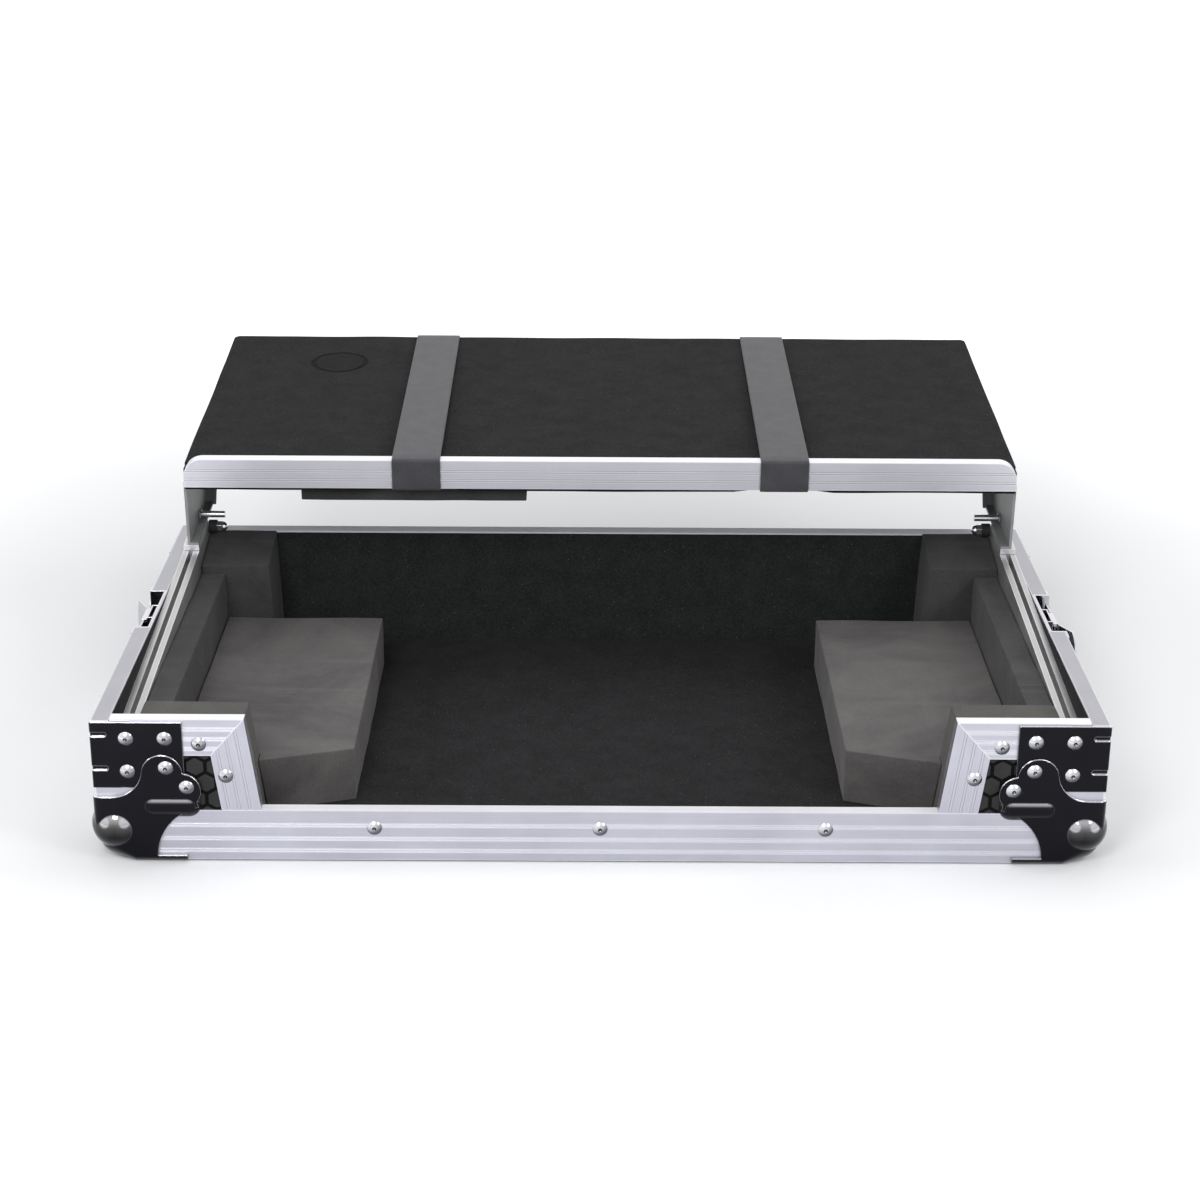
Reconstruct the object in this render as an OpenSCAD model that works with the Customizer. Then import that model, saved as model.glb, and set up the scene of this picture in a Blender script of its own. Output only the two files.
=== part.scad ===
// Open tray of a road case for a small audio controller: plywood walls in aluminium
// edge trim, chrome ball corners, foam seats, twist latches recessed in the side walls,
// and a carpeted shelf that glides forward on two tracks that rise to the back.
// Millimetres, +Z up, +Y to the back, origin on the table under the middle of the part.

/* [Case] */
// Width of the tray over its aluminium faces
case_w = 640; // [600:1:700]
// Depth of the tray, front face to back face
case_d = 365; // [350:1:400]
// Height of the side rim above the underside of the tray
rim_h = 97; // [93:0.5:105]
// How far the front wall stands above the side rim
front_rise = 1; // [0.2:0.1:3]
// Thickness of the side and back walls
wall_t = 9; // [8:0.25:11]
// Thickness of the front wall
front_t = 6; // [5:0.25:9]
// Thickness of the floor panel
floor_t = 7; // [5:0.25:9]
// Thickness of the carpet lining
lining_t = 1.25; // [1:0.05:2]

/* [Front opening] */
// Width of the front wall beside the opening, at the top
post_w = 96; // [90:1:120]
// Lean of the opening's two edges from upright, in degrees
opening_lean = 7.7; // [2:0.1:10]
// Height of the front sill, which is also the height of the trim round the base
sill_h = 35; // [30:0.5:40]

/* [Edge trim] */
// Sheet thickness of the aluminium trim
trim_t = 1.25; // [1:0.05:1.6]
// Width of the trim's faces
trim_w = 25; // [22:0.5:28]
// Depth of the grooves that frame each rib
groove_d = 0.45; // [0.2:0.05:0.6]
// Width of those grooves
groove_w = 0.6; // [0.3:0.05:1]
// Width of the rib between two grooves
rib_w = 1.1; // [0.6:0.1:1.6]

/* [Corners] */
// Sheet thickness of the upper corner brackets
bracket_t = 1.2; // [0.8:0.1:1.6]
// Length of each bracket leaf, as a share of the rim's height
bracket_w_share = 0.588; // [0.56:0.001:0.62]
// Height of the bracket leaves, as a share of the rim's height
bracket_h_share = 0.469; // [0.44:0.001:0.5]
// Gap from the rim down to the brackets
bracket_drop = 0.5; // [0.1:0.1:2]
// Length of the stiffening slots pressed into the bracket's fold
slot_l = 8; // [5:0.5:12]
// Height of those slots
slot_h = 3; // [2:0.25:4]
// Sheet thickness of the ball corners
corner_t = 1.2; // [1:0.1:1.6]
// Radius of the ball at the outer point of each corner
ball_r = 17; // [16:0.25:18.5]
// Distance of the ball's centre inside the two upright faces
ball_in = 11; // [10:0.25:12.5]
// Height of the ball's centre
ball_z = 21.5; // [19:0.25:24]
// Radius of the corner's folded edges
fold_r = 5; // [4:0.25:6]
// Radius of the corner's rounded outer point, where the folds meet
point_r = 15; // [12:0.5:16]
// Radius of the first ear, as a share of the rim's height
ear_a_r_share = 0.134; // [0.12:0.001:0.142]
// Radius of the second ear, as a share of the rim's height
ear_b_r_share = 0.124; // [0.11:0.001:0.132]
// Radius of the hollow curve beside the base trim, as a share of the rim's height
scoop_r_share = 0.378; // [0.355:0.001:0.39]
// Half height of the raised oval in the corner's leaves
oval_r = 5; // [4:0.25:5.5]
// How far that oval stands out
oval_rise = 1.2; // [0.6:0.1:1.6]
// Radius of the leaf under the floor
foot_r = 56; // [50:1:60]

/* [Rivets] */
// Radius of a rivet head
rivet_r = 4.8; // [4:0.1:5.2]
// Height of a rivet head
rivet_h = 2.2; // [1.6:0.1:2.6]
// Radius of the hollow in the top of a rivet head
dimple_r = 1.5; // [1:0.1:1.8]

/* [Tracks] */
// Slope of the tracks and of the shelf, rising to the back, in degrees
incline = 4.4; // [3:0.1:5]
// Drop from the side rim to the track's top at the front face
track_drop = 18.7; // [16:0.1:22]
// Height of the track extrusion
track_h = 24; // [20:0.5:28]
// Width of the rib next to the wall
rib_out_w = 4; // [3.5:0.1:5]
// Width of the groove between the two ribs
track_gap = 3.5; // [3:0.1:4]
// Width of the rib next to the foam
rib_in_w = 4.2; // [3.5:0.1:5]
// Depth of the groove
track_groove = 9; // [7:0.5:12]

/* [Foam] */
// Thickness of the side pads
side_pad_t = 17.5; // [14:0.5:20]
// Height of the side pads' top above the tray's underside
side_pad_z = 82; // [70:0.5:84]
// Distance of the side pads' front end from the front face
side_pad_y = 60.3; // [50:0.1:70]
// Height of the front blocks' top
front_pad_z = 84; // [78:0.5:86]
// Height of the low pads' top
low_pad_z = 47; // [40:0.5:60]
// Width of the low pads at the back
low_pad_w = 116.5; // [100:0.5:135]
// Distance from the front face to the low pads' inner front corner
low_pad_y = 68.5; // [64:0.5:75]
// How far the low pads' nose comes forward of that corner
low_pad_nose = 19.5; // [8:0.5:22]
// Length of the rear blocks
rear_pad_l = 53; // [45:0.5:60]
// Width of the rear blocks at the top
rear_pad_w = 50; // [42:0.5:60]
// Height of the rear blocks' top at their front end
rear_pad_z = 88.5; // [84:0.5:90]
// Rise of that top along the block
rear_pad_rise = 9; // [4:0.5:10]
// How far the rear blocks' inner face leans in at the bottom
rear_pad_lean = 3.5; // [0:0.5:6]

/* [Shelf] */
// Length of the shelf with its front trim
shelf_l = 283.5; // [260:0.5:290]
// Height of the shelf's underside above the tracks
shelf_lift = 55; // [45:0.5:65]
// Thickness of the shelf with its carpet
shelf_t = 16; // [14:0.5:20]
// Thickness of that carpet
carpet_t = 2; // [1:0.25:3]
// Radius of the shelf's back corners
shelf_r = 5; // [2:0.5:12]
// How far the shelf's side stands outside the middle of the groove
shelf_past = 0.25; // [0:0.05:0.6]
// Height of the front lip above the carpet
lip_h = 5.7; // [4:0.1:8]
// Depth of the front lip
lip_l = 9; // [7:0.5:12]
// Radius of the front trim's upper corners
lip_r = 14; // [8:0.5:15]
// Sheet thickness of the shelf's front trim
lip_t = 2; // [1.5:0.1:2.5]
// Width of the foam strip under the shelf
strip_w = 165; // [150:1:200]
// Distance of that strip's outer end from the shelf's side
strip_end = 84; // [60:1:100]
// Depth of the strip
strip_l = 40; // [25:1:50]
// Thickness of the strip
strip_t = 13; // [10:0.5:16]
// Setback of the strip behind the shelf's front
strip_in = 8; // [7:0.5:14]
// Width of the two straps
strap_w = 35; // [25:0.5:45]
// Thickness of the straps
strap_t = 1.5; // [1:0.1:2]
// Distance of the straps' middle from the shelf's side
strap_end = 169.2; // [150:0.1:190]

/* [Legs] */
// Sheet thickness of the legs
leg_t = 2; // [1.5:0.1:2.4]
// Setback of the legs behind the shelf's front
leg_in = 9.5; // [6:0.5:14]
// Length of a leg's web along the shelf
leg_top_l = 114; // [100:1:125]
// Length of a leg's web along the track
leg_foot_l = 78; // [60:1:85]
// Width of the flange under the shelf
leg_flange_w = 20; // [16:0.5:24]
// Width of the stiffening flange at a leg's back
leg_rear_w = 10; // [6:0.5:14]
// Thickness of the glide shoes above the track
shoe_t = 4.2; // [3:0.1:5]
// Length of the glide shoes
shoe_l = 47; // [40:1:50]
// Depth of the shoe's guide in the groove
guide_d = 7; // [5:0.25:8]
// Running gap round the guide and under the shoe
run_gap = 0.3; // [0.25:0.05:0.4]
// Radius of the bolts through the legs
bolt_r = 2.5; // [2:0.1:3]
// How far these bolts reach toward the middle
bolt_l = 22; // [18:0.5:26]
// Distance of the bolts behind the leg's front edge
bolt_in = 43; // [34:0.5:45]
// Height of the bolts above the track
bolt_z = 10.8; // [10.8:0.1:14]
// Length of the end blocks in the front of the grooves
stop_l = 12; // [8:0.5:16]
// Length of the end blocks in the back of the grooves
stop_back_l = 7.1; // [4:0.1:12]
// Radius of the rubber rings at the tracks' back ends
ring_r = 5; // [4:0.1:5.5]
// Width of these rings
ring_w = 6; // [4:0.5:8]
// Radius of the stud that carries each ring
stud_r = 2; // [1.5:0.1:2.2]
// Depth of the stud's middle below the track's top
stud_drop = 2.5; // [2.2:0.1:4]
// Distance of the stud from the track's back end
stud_in = 4; // [3:0.5:8]

/* [Latches] */
// Distance of the latches' middle from the front face
latch_y = 191; // [175:1:205]
// Length of the latch dish
dish_l = 70; // [69:0.5:80]
// Height of the latch dish
dish_h = 58; // [57:0.5:60]
// Width of the dish's flange on the wall
dish_flange = 9; // [8.5:0.5:10]
// Sheet thickness of the dish
dish_t = 1.2; // [0.8:0.1:1.3]
// Width of the hook's housing
housing_w = 24; // [23:0.5:28]
// Height of that housing
housing_h = 48; // [46:0.5:50]
// Drop from the rim to the middle of the key
key_drop = 21; // [20:0.5:24]
// Radius of the key's shaft
shaft_r = 4; // [3.5:0.1:5]
// Throw of the crank pin that lifts the hook
crank_r = 5; // [4:0.25:5.5]
// Radius of the crank pin
crank_pin_r = 1.5; // [1.2:0.1:1.6]
// Radius swept by the folded wings
wing_r = 33; // [28:0.25:33]
// Height of the wings
wing_h = 34; // [30:0.5:36]
// Distance of the wings' pins from the middle of the key
wing_pin_y = 9; // [8:0.25:10]
// Radius of the wings' pins
wing_pin_r = 0.8; // [0.6:0.05:0.9]
// How far one wing stands open, in degrees
wing_open = 28; // [0:1:60]

/* [Hidden] */
$fn = 48;

// One overrun serves every cut that has to pass a face
over = 2;
// Gap between pieces that move past each other
gap = 0.3;
// Gap between soft pieces and what they lie against
foam_gap = 0.3;
// Running clearance of a shaft in its bore
bore_gap = 0.05;
// Sizes long enough to pass the whole part
far = 2 * case_w;

half_w = case_w / 2;
front_h = rim_h + front_rise;
bracket_w = bracket_w_share * rim_h;
bracket_h = bracket_h_share * rim_h;
ear_a_r = ear_a_r_share * rim_h;
ear_b_r = ear_b_r_share * rim_h;
scoop_r = scoop_r_share * rim_h;
rim_w = trim_t + wall_t + lining_t;
// The side rims end just short of the tracks
side_rim_w = rim_w - gap;
front_w = front_t + 2 * trim_t;
wall_in_x = half_w - trim_t - wall_t;
inner_x = half_w - rim_w;
back_in_y = case_d - rim_w;
floor_z = trim_t + floor_t + lining_t;
stand_t = corner_t;
cover_t = bracket_t + corner_t;
opening_x = half_w - post_w;
mitre = (90 + opening_lean) / 2;
sill_x = opening_x - (front_h - sill_h) * tan(opening_lean);

// Tracks: x places, and the frame that leans with them
track_w = rib_out_w + track_gap + rib_in_w;
track_in_x = inner_x - track_w;
groove_x = inner_x - rib_out_w - track_gap / 2;
track_z = rim_h - track_drop;
track_y0 = front_w / cos(incline) + gap;
track_y1 = (back_in_y - track_h * sin(incline)) / cos(incline) - gap;
shelf_half = groove_x + shelf_past;
leg_y = track_y1 - stop_back_l - gap - shoe_l;
shelf_y = leg_y - leg_in;
shelf_end = shelf_y + shelf_l;
shelf_top = shelf_lift + shelf_t;
lip_top = shelf_top + lip_h;
strap_x = shelf_half - strap_end;
strip_x = shelf_half - strip_end;
shoe_z = run_gap + shoe_t;
stud_y = track_y1 - stud_in;
bolt_y = leg_y + bolt_in;

// Middle of the part, front to back: ball at the front, shelf or strap at the back
ball_out = ball_r - ball_in;
part_back = (shelf_end + strap_t) * cos(incline) - (shelf_lift - strap_t) * sin(incline);
mid_y = (part_back - ball_out) / 2;

module placed() translate([0, -mid_y, stand_t]) children();
module both() { children(); mirror([1, 0, 0]) children(); }
module on_track() translate([0, 0, track_z]) rotate([incline, 0, 0]) children();
module at_left() translate([-half_w, latch_y, rim_h]) rotate([0, 0, 180]) children();
module at_right() translate([half_w, latch_y, rim_h]) children();

// Box between two corner points
module block(a, b) translate(a) cube(b - a);

// Colours of the finishes
module alu() color([0.80, 0.80, 0.84]) children();
module chrome() color([0.30, 0.31, 0.33]) children();
module laminate() color([0.25, 0.24, 0.24]) children();
module carpet() color([0.14, 0.14, 0.14]) children();
module foam() color([0.33, 0.31, 0.30]) children();
module steel() color([0.45, 0.46, 0.47]) children();
module rubber() color([0.08, 0.08, 0.08]) children();
module webbing() color([0.36, 0.36, 0.38]) children();

// Ribbed trim

// Places of the ribs across a face, as shares of its width
rib_shares = [0.27, 0.54, 0.81];
base_rib_shares = [0.19, 0.43, 0.70];

// Grooves that leave ribs on a face: x runs into the metal, y across the face
module grooves2d(w, shares)
  for (s = shares, side = [-1, 1])
    translate([-over, s * w + side * (rib_w + groove_w) / 2 - groove_w / 2])
      square([over + groove_d, groove_w]);

// L of the trim round the base: x runs in from the face, y runs up
module base_profile()
  difference() {
    union() {
      square([trim_t, sill_h]);
      square([trim_w, trim_t]);
    }
    grooves2d(sill_h, base_rib_shares);
  }

// L of the rim: x runs in from the face, y runs down from the top, and w is its width
module rim_profile(w)
  difference() {
    union() {
      square([trim_t, trim_w]);
      square([w, trim_t]);
    }
    grooves2d(trim_w, rib_shares);
  }

// Channel round the edge of the front wall: x runs from the edge, y runs into the wall
module post_profile()
  difference() {
    union() {
      square([trim_w, trim_t]);
      square([trim_t, front_w]);
      translate([0, front_w - trim_t]) square([trim_w, trim_t]);
    }
    mirror([1, -1]) grooves2d(trim_w, rib_shares);
  }

// Half space over the mitre of the left post
module over_mitre()
  translate([-opening_x, 0, front_h]) rotate([0, -mitre, 0])
    translate([-far, -far, 0]) cube(2 * far);

module post_top()
  intersection() {
    difference() {
      translate([-inner_x + gap, 0, front_h]) rotate([0, 90, 0])
        linear_extrude(inner_x - opening_x + over) post_profile();
      // The corner angle and the side wall pass in front of and behind the channel
      block([-half_w, -over, -over], [-half_w + trim_w, trim_t, front_h - trim_t]);
      block([-half_w, front_w - trim_t, -over], [-track_in_x + gap, front_w + over, front_h - trim_t]);
    }
    over_mitre();
  }

module post_side()
  difference() {
    translate([-opening_x, 0, front_h]) rotate([0, -opening_lean, 0]) mirror([1, 0, 0])
      translate([0, 0, -front_h]) linear_extrude(front_h + over) post_profile();
    over_mitre();
    translate([-far, -far, sill_h - 2 * far]) cube(2 * far);
  }

module sill_trim()
  difference() {
    union() {
      translate([-half_w + trim_w, 0, 0]) rotate([90, 0, 90])
        linear_extrude(case_w - 2 * trim_w) base_profile();
      // Lip over the wall's edge, between the two posts
      block([-sill_x, 0, sill_h - trim_t], [sill_x, front_w, sill_h]);
      block([-sill_x, front_w - trim_t, sill_h - trim_w + trim_t], [sill_x, front_w, sill_h]);
    }
    block([-far, trim_t, 2 * trim_t], [-sill_x, far, sill_h + over]);
    block([sill_x, trim_t, 2 * trim_t], [far, far, sill_h + over]);
    block([-far, trim_w, -over], [far, far, trim_t + over]);
  }

module base_trim_side()
  translate([-half_w, case_d - trim_w, 0]) rotate([90, 0, 0])
    linear_extrude(case_d - 2 * trim_w) base_profile();

module base_trim_back()
  translate([half_w - trim_w, case_d, 0]) rotate([90, 0, -90])
    linear_extrude(case_w - 2 * trim_w) base_profile();

// Notch that the latch dish needs in wall and rim, from local places of the latch
module dish_cut()
  block([-trim_t - wall_t, -dish_l / 2, -dish_h], [over, dish_l / 2, over]);

module rim_left()
  difference() {
    union() {
      translate([-half_w, case_d - trim_w, rim_h]) rotate([90, 0, 0])
        linear_extrude(case_d - 2 * trim_w) mirror([0, 1]) rim_profile(side_rim_w);
      block([-half_w, 0, rim_h - trim_t], [-half_w + side_rim_w, case_d, rim_h]);
    }
    at_left() dish_cut();
  }

module rim_right()
  difference() {
    union() {
      translate([half_w, trim_w, rim_h]) rotate([90, 0, 180])
        linear_extrude(case_d - 2 * trim_w) mirror([0, 1]) rim_profile(side_rim_w);
      block([half_w - side_rim_w, 0, rim_h - trim_t], [half_w, case_d, rim_h]);
    }
    at_right() dish_cut();
  }

module rim_back() {
  translate([half_w - trim_w, case_d, rim_h]) rotate([90, 0, -90])
    linear_extrude(case_w - 2 * trim_w) mirror([0, 1]) rim_profile(rim_w);
  for (side = [-1, 1])
    translate([side * (inner_x + half_w - trim_w) / 2, case_d - rim_w / 2, rim_h - trim_t / 2])
      cube([inner_x - half_w + trim_w, rim_w, trim_t], center = true);
}

module corner_angle()
  difference() {
    union() {
      block([0, 0, 0], [trim_w, trim_t, rim_h - trim_t]);
      block([0, 0, 0], [trim_t, trim_w, rim_h - trim_t]);
    }
    corner_relief();
  }

// Walls, floor and lining

module corner_at(x, y)
  translate([x < 0 ? -half_w : half_w, y < 0 ? 0 : case_d, 0])
    mirror([x < 0 ? 0 : 1, 0, 0]) mirror([0, y < 0 ? 0 : 1, 0]) children();
module at_corners() for (x = [-1, 1], y = [-1, 1]) corner_at(x, y) children();

// The tray's lower corners are cut off on a slant, inside the ball corners
module corner_relief()
  rotate([0, acos(1 / sqrt(3)), 45])
    translate([-2 * trim_w, -2 * trim_w, trim_w / sqrt(3) - 4 * trim_w]) cube(4 * trim_w);

module wall_front()
  difference() {
    block([-wall_in_x, trim_t, trim_t], [wall_in_x, trim_t + front_t, front_h - trim_t]);
    at_corners() corner_relief();
    // The side rims end over the wall's two upper corners
    both() block([-half_w, 0, rim_h - trim_t], [-inner_x, front_w, front_h]);
    // Opening, inset so that the channel wraps its edge
    translate([0, far / 2, 0]) rotate([90, 0, 0]) linear_extrude(far) polygon([
      [-sill_x - trim_t, sill_h - trim_t],
      [sill_x + trim_t, sill_h - trim_t],
      [opening_x + trim_t / cos(opening_lean), front_h],
      [opening_x + trim_t / cos(opening_lean), front_h + over],
      [-opening_x - trim_t / cos(opening_lean), front_h + over],
      [-opening_x - trim_t / cos(opening_lean), front_h]
    ]);
  }

module wall_back()
  difference() {
    block([-wall_in_x, case_d - trim_t - wall_t, trim_t], [wall_in_x, case_d - trim_t, rim_h - trim_t]);
    at_corners() corner_relief();
  }

module wall_side()
  difference() {
    block([-half_w + trim_t, trim_t, trim_t], [-wall_in_x, case_d - trim_t, rim_h - trim_t]);
    at_corners() corner_relief();
  }

module floor_panel()
  difference() {
    block([-wall_in_x, trim_t + front_t, trim_t],
          [wall_in_x, case_d - trim_t - wall_t, trim_t + floor_t]);
    at_corners() corner_relief();
  }

module lining_floor()
  block([-wall_in_x, front_w, trim_t + floor_t], [wall_in_x, back_in_y, floor_z]);

module lining_back()
  block([-wall_in_x, back_in_y, trim_t + floor_t],
        [wall_in_x, case_d - trim_t - wall_t, rim_h - trim_t]);

module lining_side()
  block([-wall_in_x, front_w, floor_z], [-inner_x, back_in_y, rim_h - trim_t]);

// Corner hardware

// Pressed slot across the fold, from the corner inward
module fold_slot(z)
  translate([-cover_t, -bracket_t - over, z]) rotate([-90, 0, 0])
    linear_extrude(over + bracket_t / 2) {
      translate([0, -slot_h / 2]) square([slot_l + cover_t, slot_h]);
      translate([slot_l + cover_t, 0]) circle(slot_h / 2);
    }

// Bracket at the front left corner, with that corner at zero
module bracket() {
  top = rim_h - bracket_drop;
  low = top - bracket_h;
  difference() {
    union() {
      block([0, -bracket_t, low], [bracket_w, 0, top]);
      block([-bracket_t, 0, low], [0, bracket_w, top]);
      translate([0, 0, low]) cylinder(r = bracket_t, h = bracket_h);
    }
    block([0, 0, low - over], [bracket_w + over, bracket_w + over, top + over]);
    for (share = slot_shares) {
      fold_slot(low + share * bracket_h);
      mirror([1, -1, 0]) fold_slot(low + share * bracket_h);
    }
  }
}
// Heights of the two slots, as shares of the bracket's height
slot_shares = [0.30, 0.81];

// Points along an arc
function arc(c, r, from, to, n = 10) =
  [for (i = [0 : n]) c + r * [cos(from + (to - from) * i / n), sin(from + (to - from) * i / n)]];
function heading(v) = atan2(v[1], v[0]);

// Leaf of a ball corner: x runs in from the corner, y runs up. Middles as shares of the bracket's leaf
ear_a_share = [0.754, 1.074];
ear_b_share = [0.965, 0.868];
dip_share = [0.175, 1.140];
scoop_share = [1.298, 0.044];
ear_a = bracket_w * ear_a_share;
ear_b = bracket_w * ear_b_share;
// Hollow curve that rises to the first ear, and its radius
dip = bracket_w * dip_share;
dip_r = norm(ear_a - dip) - ear_a_r;
dip_end = heading(ear_a - dip);
// Hollow curve beside the base trim, and where it starts
scoop = bracket_w * scoop_share;
scoop_start = 104;
ear_b_end = -40;
// Where the two ears meet, as angles on each
ear_span = norm(ear_b - ear_a);
ear_reach = (ear_a_r * ear_a_r - ear_b_r * ear_b_r + ear_span * ear_span) / (2 * ear_span);
ear_a_end = heading(ear_b - ear_a) + acos(ear_reach / ear_a_r);
ear_b_start = heading(ear_a - ear_b) - acos((ear_span - ear_reach) / ear_b_r);
module leaf2d()
  polygon(concat(
    [[-over - cover_t, -over], [-over - cover_t, dip[1] - dip_r]],
    arc(dip, dip_r, -90, dip_end),
    arc(ear_a, ear_a_r, 180 + dip_end, ear_a_end, 16),
    arc(ear_b, ear_b_r, ear_b_start, ear_b_end),
    arc(scoop, scoop_r, scoop_start, 180),
    [[scoop[0] - scoop_r, -over]]
  ));

// Space inside the rounded outer faces of a ball corner: round at its point, with folds that
// tighten along the three edges
corner_reach = 2 * foot_r;
fold_from = trim_w - over;
fold_at = [fold_r - cover_t, fold_r - cover_t, fold_r - stand_t];
module corner_outside() {
  hull() {
    translate([point_r - cover_t, point_r - cover_t, point_r - stand_t]) sphere(point_r, $fn = 64);
    translate([fold_at[0], fold_at[1], fold_from]) cylinder(r = fold_r, h = corner_reach - fold_from);
    translate([fold_at[0], fold_from, fold_at[2]]) rotate([-90, 0, 0])
      cylinder(r = fold_r, h = corner_reach - fold_from);
    translate([fold_from, fold_at[1], fold_at[2]]) rotate([0, 90, 0])
      cylinder(r = fold_r, h = corner_reach - fold_from);
    // Far sides of the three faces
    far_from = corner_reach - over;
    block([far_from, far_from, -stand_t], [corner_reach, corner_reach, corner_reach]);
    block([far_from, -cover_t, far_from], [corner_reach, corner_reach, corner_reach]);
    block([-cover_t, far_from, far_from], [corner_reach, corner_reach, corner_reach]);
  }
}

// Place and length of the raised oval in a leaf, as shares of the bracket's leaf
oval_share = [0.632, 0.675];
oval_l_share = 0.386;
oval_from = bracket_w * oval_share;
oval_l = bracket_w * oval_l_share;
// Raised oval on the front leaf: the outer sliver of a capsule
module oval() {
  r = (oval_r * oval_r + oval_rise * oval_rise) / (2 * oval_rise);
  translate([oval_from[0], r - oval_rise - cover_t, oval_from[1]]) rotate([0, 90, 0])
    rotate_extrude($fn = 64) polygon(concat(
      arc([0, 0], r, -90, 0, 8), arc([0, oval_l], r, 0, 90, 8)
    ));
}

module ball_corner() {
  depth = cover_t + fold_r;
  top = rim_h - bracket_drop;
  difference() {
    union() {
      intersection() {
        corner_outside();
        union() {
          translate([0, fold_r, 0]) rotate([90, 0, 0]) linear_extrude(depth) leaf2d();
          translate([-cover_t, 0, 0]) rotate([90, 0, 90]) linear_extrude(depth) leaf2d();
          translate([0, 0, -stand_t]) linear_extrude(fold_r) intersection() {
            translate([-cover_t, -cover_t]) square(foot_r + cover_t);
            circle(foot_r, $fn = 96);
          }
        }
      }
      translate([ball_in, ball_in, ball_z]) sphere(ball_r, $fn = 96);
      oval();
      mirror([1, -1, 0]) oval();
    }
    difference() {
      cube(far);
      corner_relief();
    }
    // Seat on the upper bracket
    block([-bracket_t, -bracket_t, top - bracket_h], [bracket_w, bracket_w, top]);
  }
}

// Rivets

module rivet() {
  r = (rivet_r * rivet_r + rivet_h * rivet_h) / (2 * rivet_h);
  difference() {
    intersection() {
      translate([0, 0, rivet_h - r]) sphere(r);
      cylinder(r = rivet_r + over, h = rivet_h + over);
    }
    translate([0, 0, rivet_h + dimple_share * dimple_r]) sphere(dimple_r);
  }
}
// How far the hollow's middle lies above the head, as a share of its radius
dimple_share = 0.33;
// Rivet on an upright face: d is how far that face stands out
module on_front(x, z, d) translate([x, -d, z]) rotate([90, 0, 0]) rivet();
module on_back(x, z) translate([0, case_d, 0]) mirror([0, 1, 0]) on_front(x, z, 0);

// Rivets in the bracket's leaf, as shares of its length and height, and of a ball corner's ears,
// as shares of each ear's radius from its middle
bracket_rivet_shares = [[0.377, 0.747], [0.804, 0.747], [0.374, 0.248]];
ear_a_rivet_share = [0.208, 0.315];
ear_b_rivet_share = [0.258, 0.192];
module corner_rivets() {
  for (share = bracket_rivet_shares)
    on_front(share[0] * bracket_w, rim_h - bracket_drop - (1 - share[1]) * bracket_h, bracket_t);
  for (p = [ear_a + ear_a_r * ear_a_rivet_share, ear_b + ear_b_r * ear_b_rivet_share])
    on_front(p[0], p[1], cover_t);
}

// Places of the other rivets: on the sill as shares of its half length and height, on the posts as
// shares of the trim's width from the opening's upper corner, beside a dish as shares of its height
sill_rivet_x_share = 0.45;
sill_rivet_z_share = 0.65;
post_rivet_shares = [[1.16, 0.68], [0.52, 1.56]];
flange_rivet_shares = [0.22, 0.86];
module rivets() {
  at_corners() {
    corner_rivets();
    mirror([1, -1, 0]) corner_rivets();
  }
  for (x_share = [-sill_rivet_x_share, 0, sill_rivet_x_share]) {
    on_front(x_share * half_w, sill_rivet_z_share * sill_h, 0);
    on_back(x_share * half_w, sill_rivet_z_share * sill_h);
    on_back(x_share * half_w, rim_h - trim_w / 2);
  }
  both() {
    for (share = post_rivet_shares)
      on_front(-opening_x - share[0] * trim_w, front_h - share[1] * trim_w, 0);
  }
  at_left() dish_rivets();
  at_right() dish_rivets();
  both() for (y = [latch_y - dish_l, latch_y + dish_l])
    translate([-half_w, y, sill_rivet_z_share * sill_h]) rotate([0, -90, 0]) rivet();
}
module dish_rivets()
  for (side = [-1, 1], share = flange_rivet_shares)
    translate([dish_t, side * (dish_l + dish_flange) / 2, -share * dish_h]) rotate([0, 90, 0]) rivet();

// Tracks

module track_profile()
  difference() {
    translate([-inner_x, -track_h]) square([track_w, track_h]);
    translate([-groove_x - track_gap / 2, -track_groove]) square([track_gap, track_groove + over]);
  }

module track()
  on_track() translate([0, track_y1, 0]) rotate([90, 0, 0])
    linear_extrude(track_y1 - track_y0) track_profile();

// Blocks that end the groove, in front of and behind the glide shoe's travel
module track_stop()
  on_track() for (span = [[track_y0, track_y0 + stop_l], [track_y1 - stop_back_l, track_y1]])
    block([-groove_x - track_gap / 2, span[0], -track_groove],
          [-groove_x + track_gap / 2, span[1], 0]);

nut_l = 9;
nut_r = 4.2;
// Stud with its domed nut, on the track's inner face
module stop_stud()
  on_track() translate([-track_in_x, stud_y, -stud_drop]) rotate([0, 90, 0]) {
    cylinder(r = stud_r, h = ring_w + nut_l / 2);
    translate([0, 0, ring_w]) cylinder(r = nut_r, h = nut_l / 2, $fn = 6);
    translate([0, 0, ring_w + nut_l / 2]) intersection() {
      sphere(nut_r * cos(30));
      translate([0, 0, 0]) cylinder(r = nut_r, h = nut_l);
    }
  }

module stop_ring()
  on_track() translate([-track_in_x, stud_y, -stud_drop]) rotate([0, 90, 0]) difference() {
    cylinder(r = ring_r, h = ring_w);
    translate([0, 0, -over]) cylinder(r = stud_r + bore_gap, h = ring_w + 2 * over);
  }

// Foam

pad_out_x = track_in_x - foam_gap;
pad_in_x = pad_out_x - side_pad_t;
low_pad_x = pad_in_x - low_pad_w;
rear_pad_x = pad_out_x - rear_pad_w;
rear_pad_y = back_in_y - rear_pad_l;
// How far the front blocks' inner end lies behind the opening's edge
pad_past = 5;
pad_slant_x = opening_x + pad_past;

module side_pad()
  block([-pad_out_x, side_pad_y, floor_z], [-pad_in_x, rear_pad_y - foam_gap, side_pad_z]);

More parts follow.
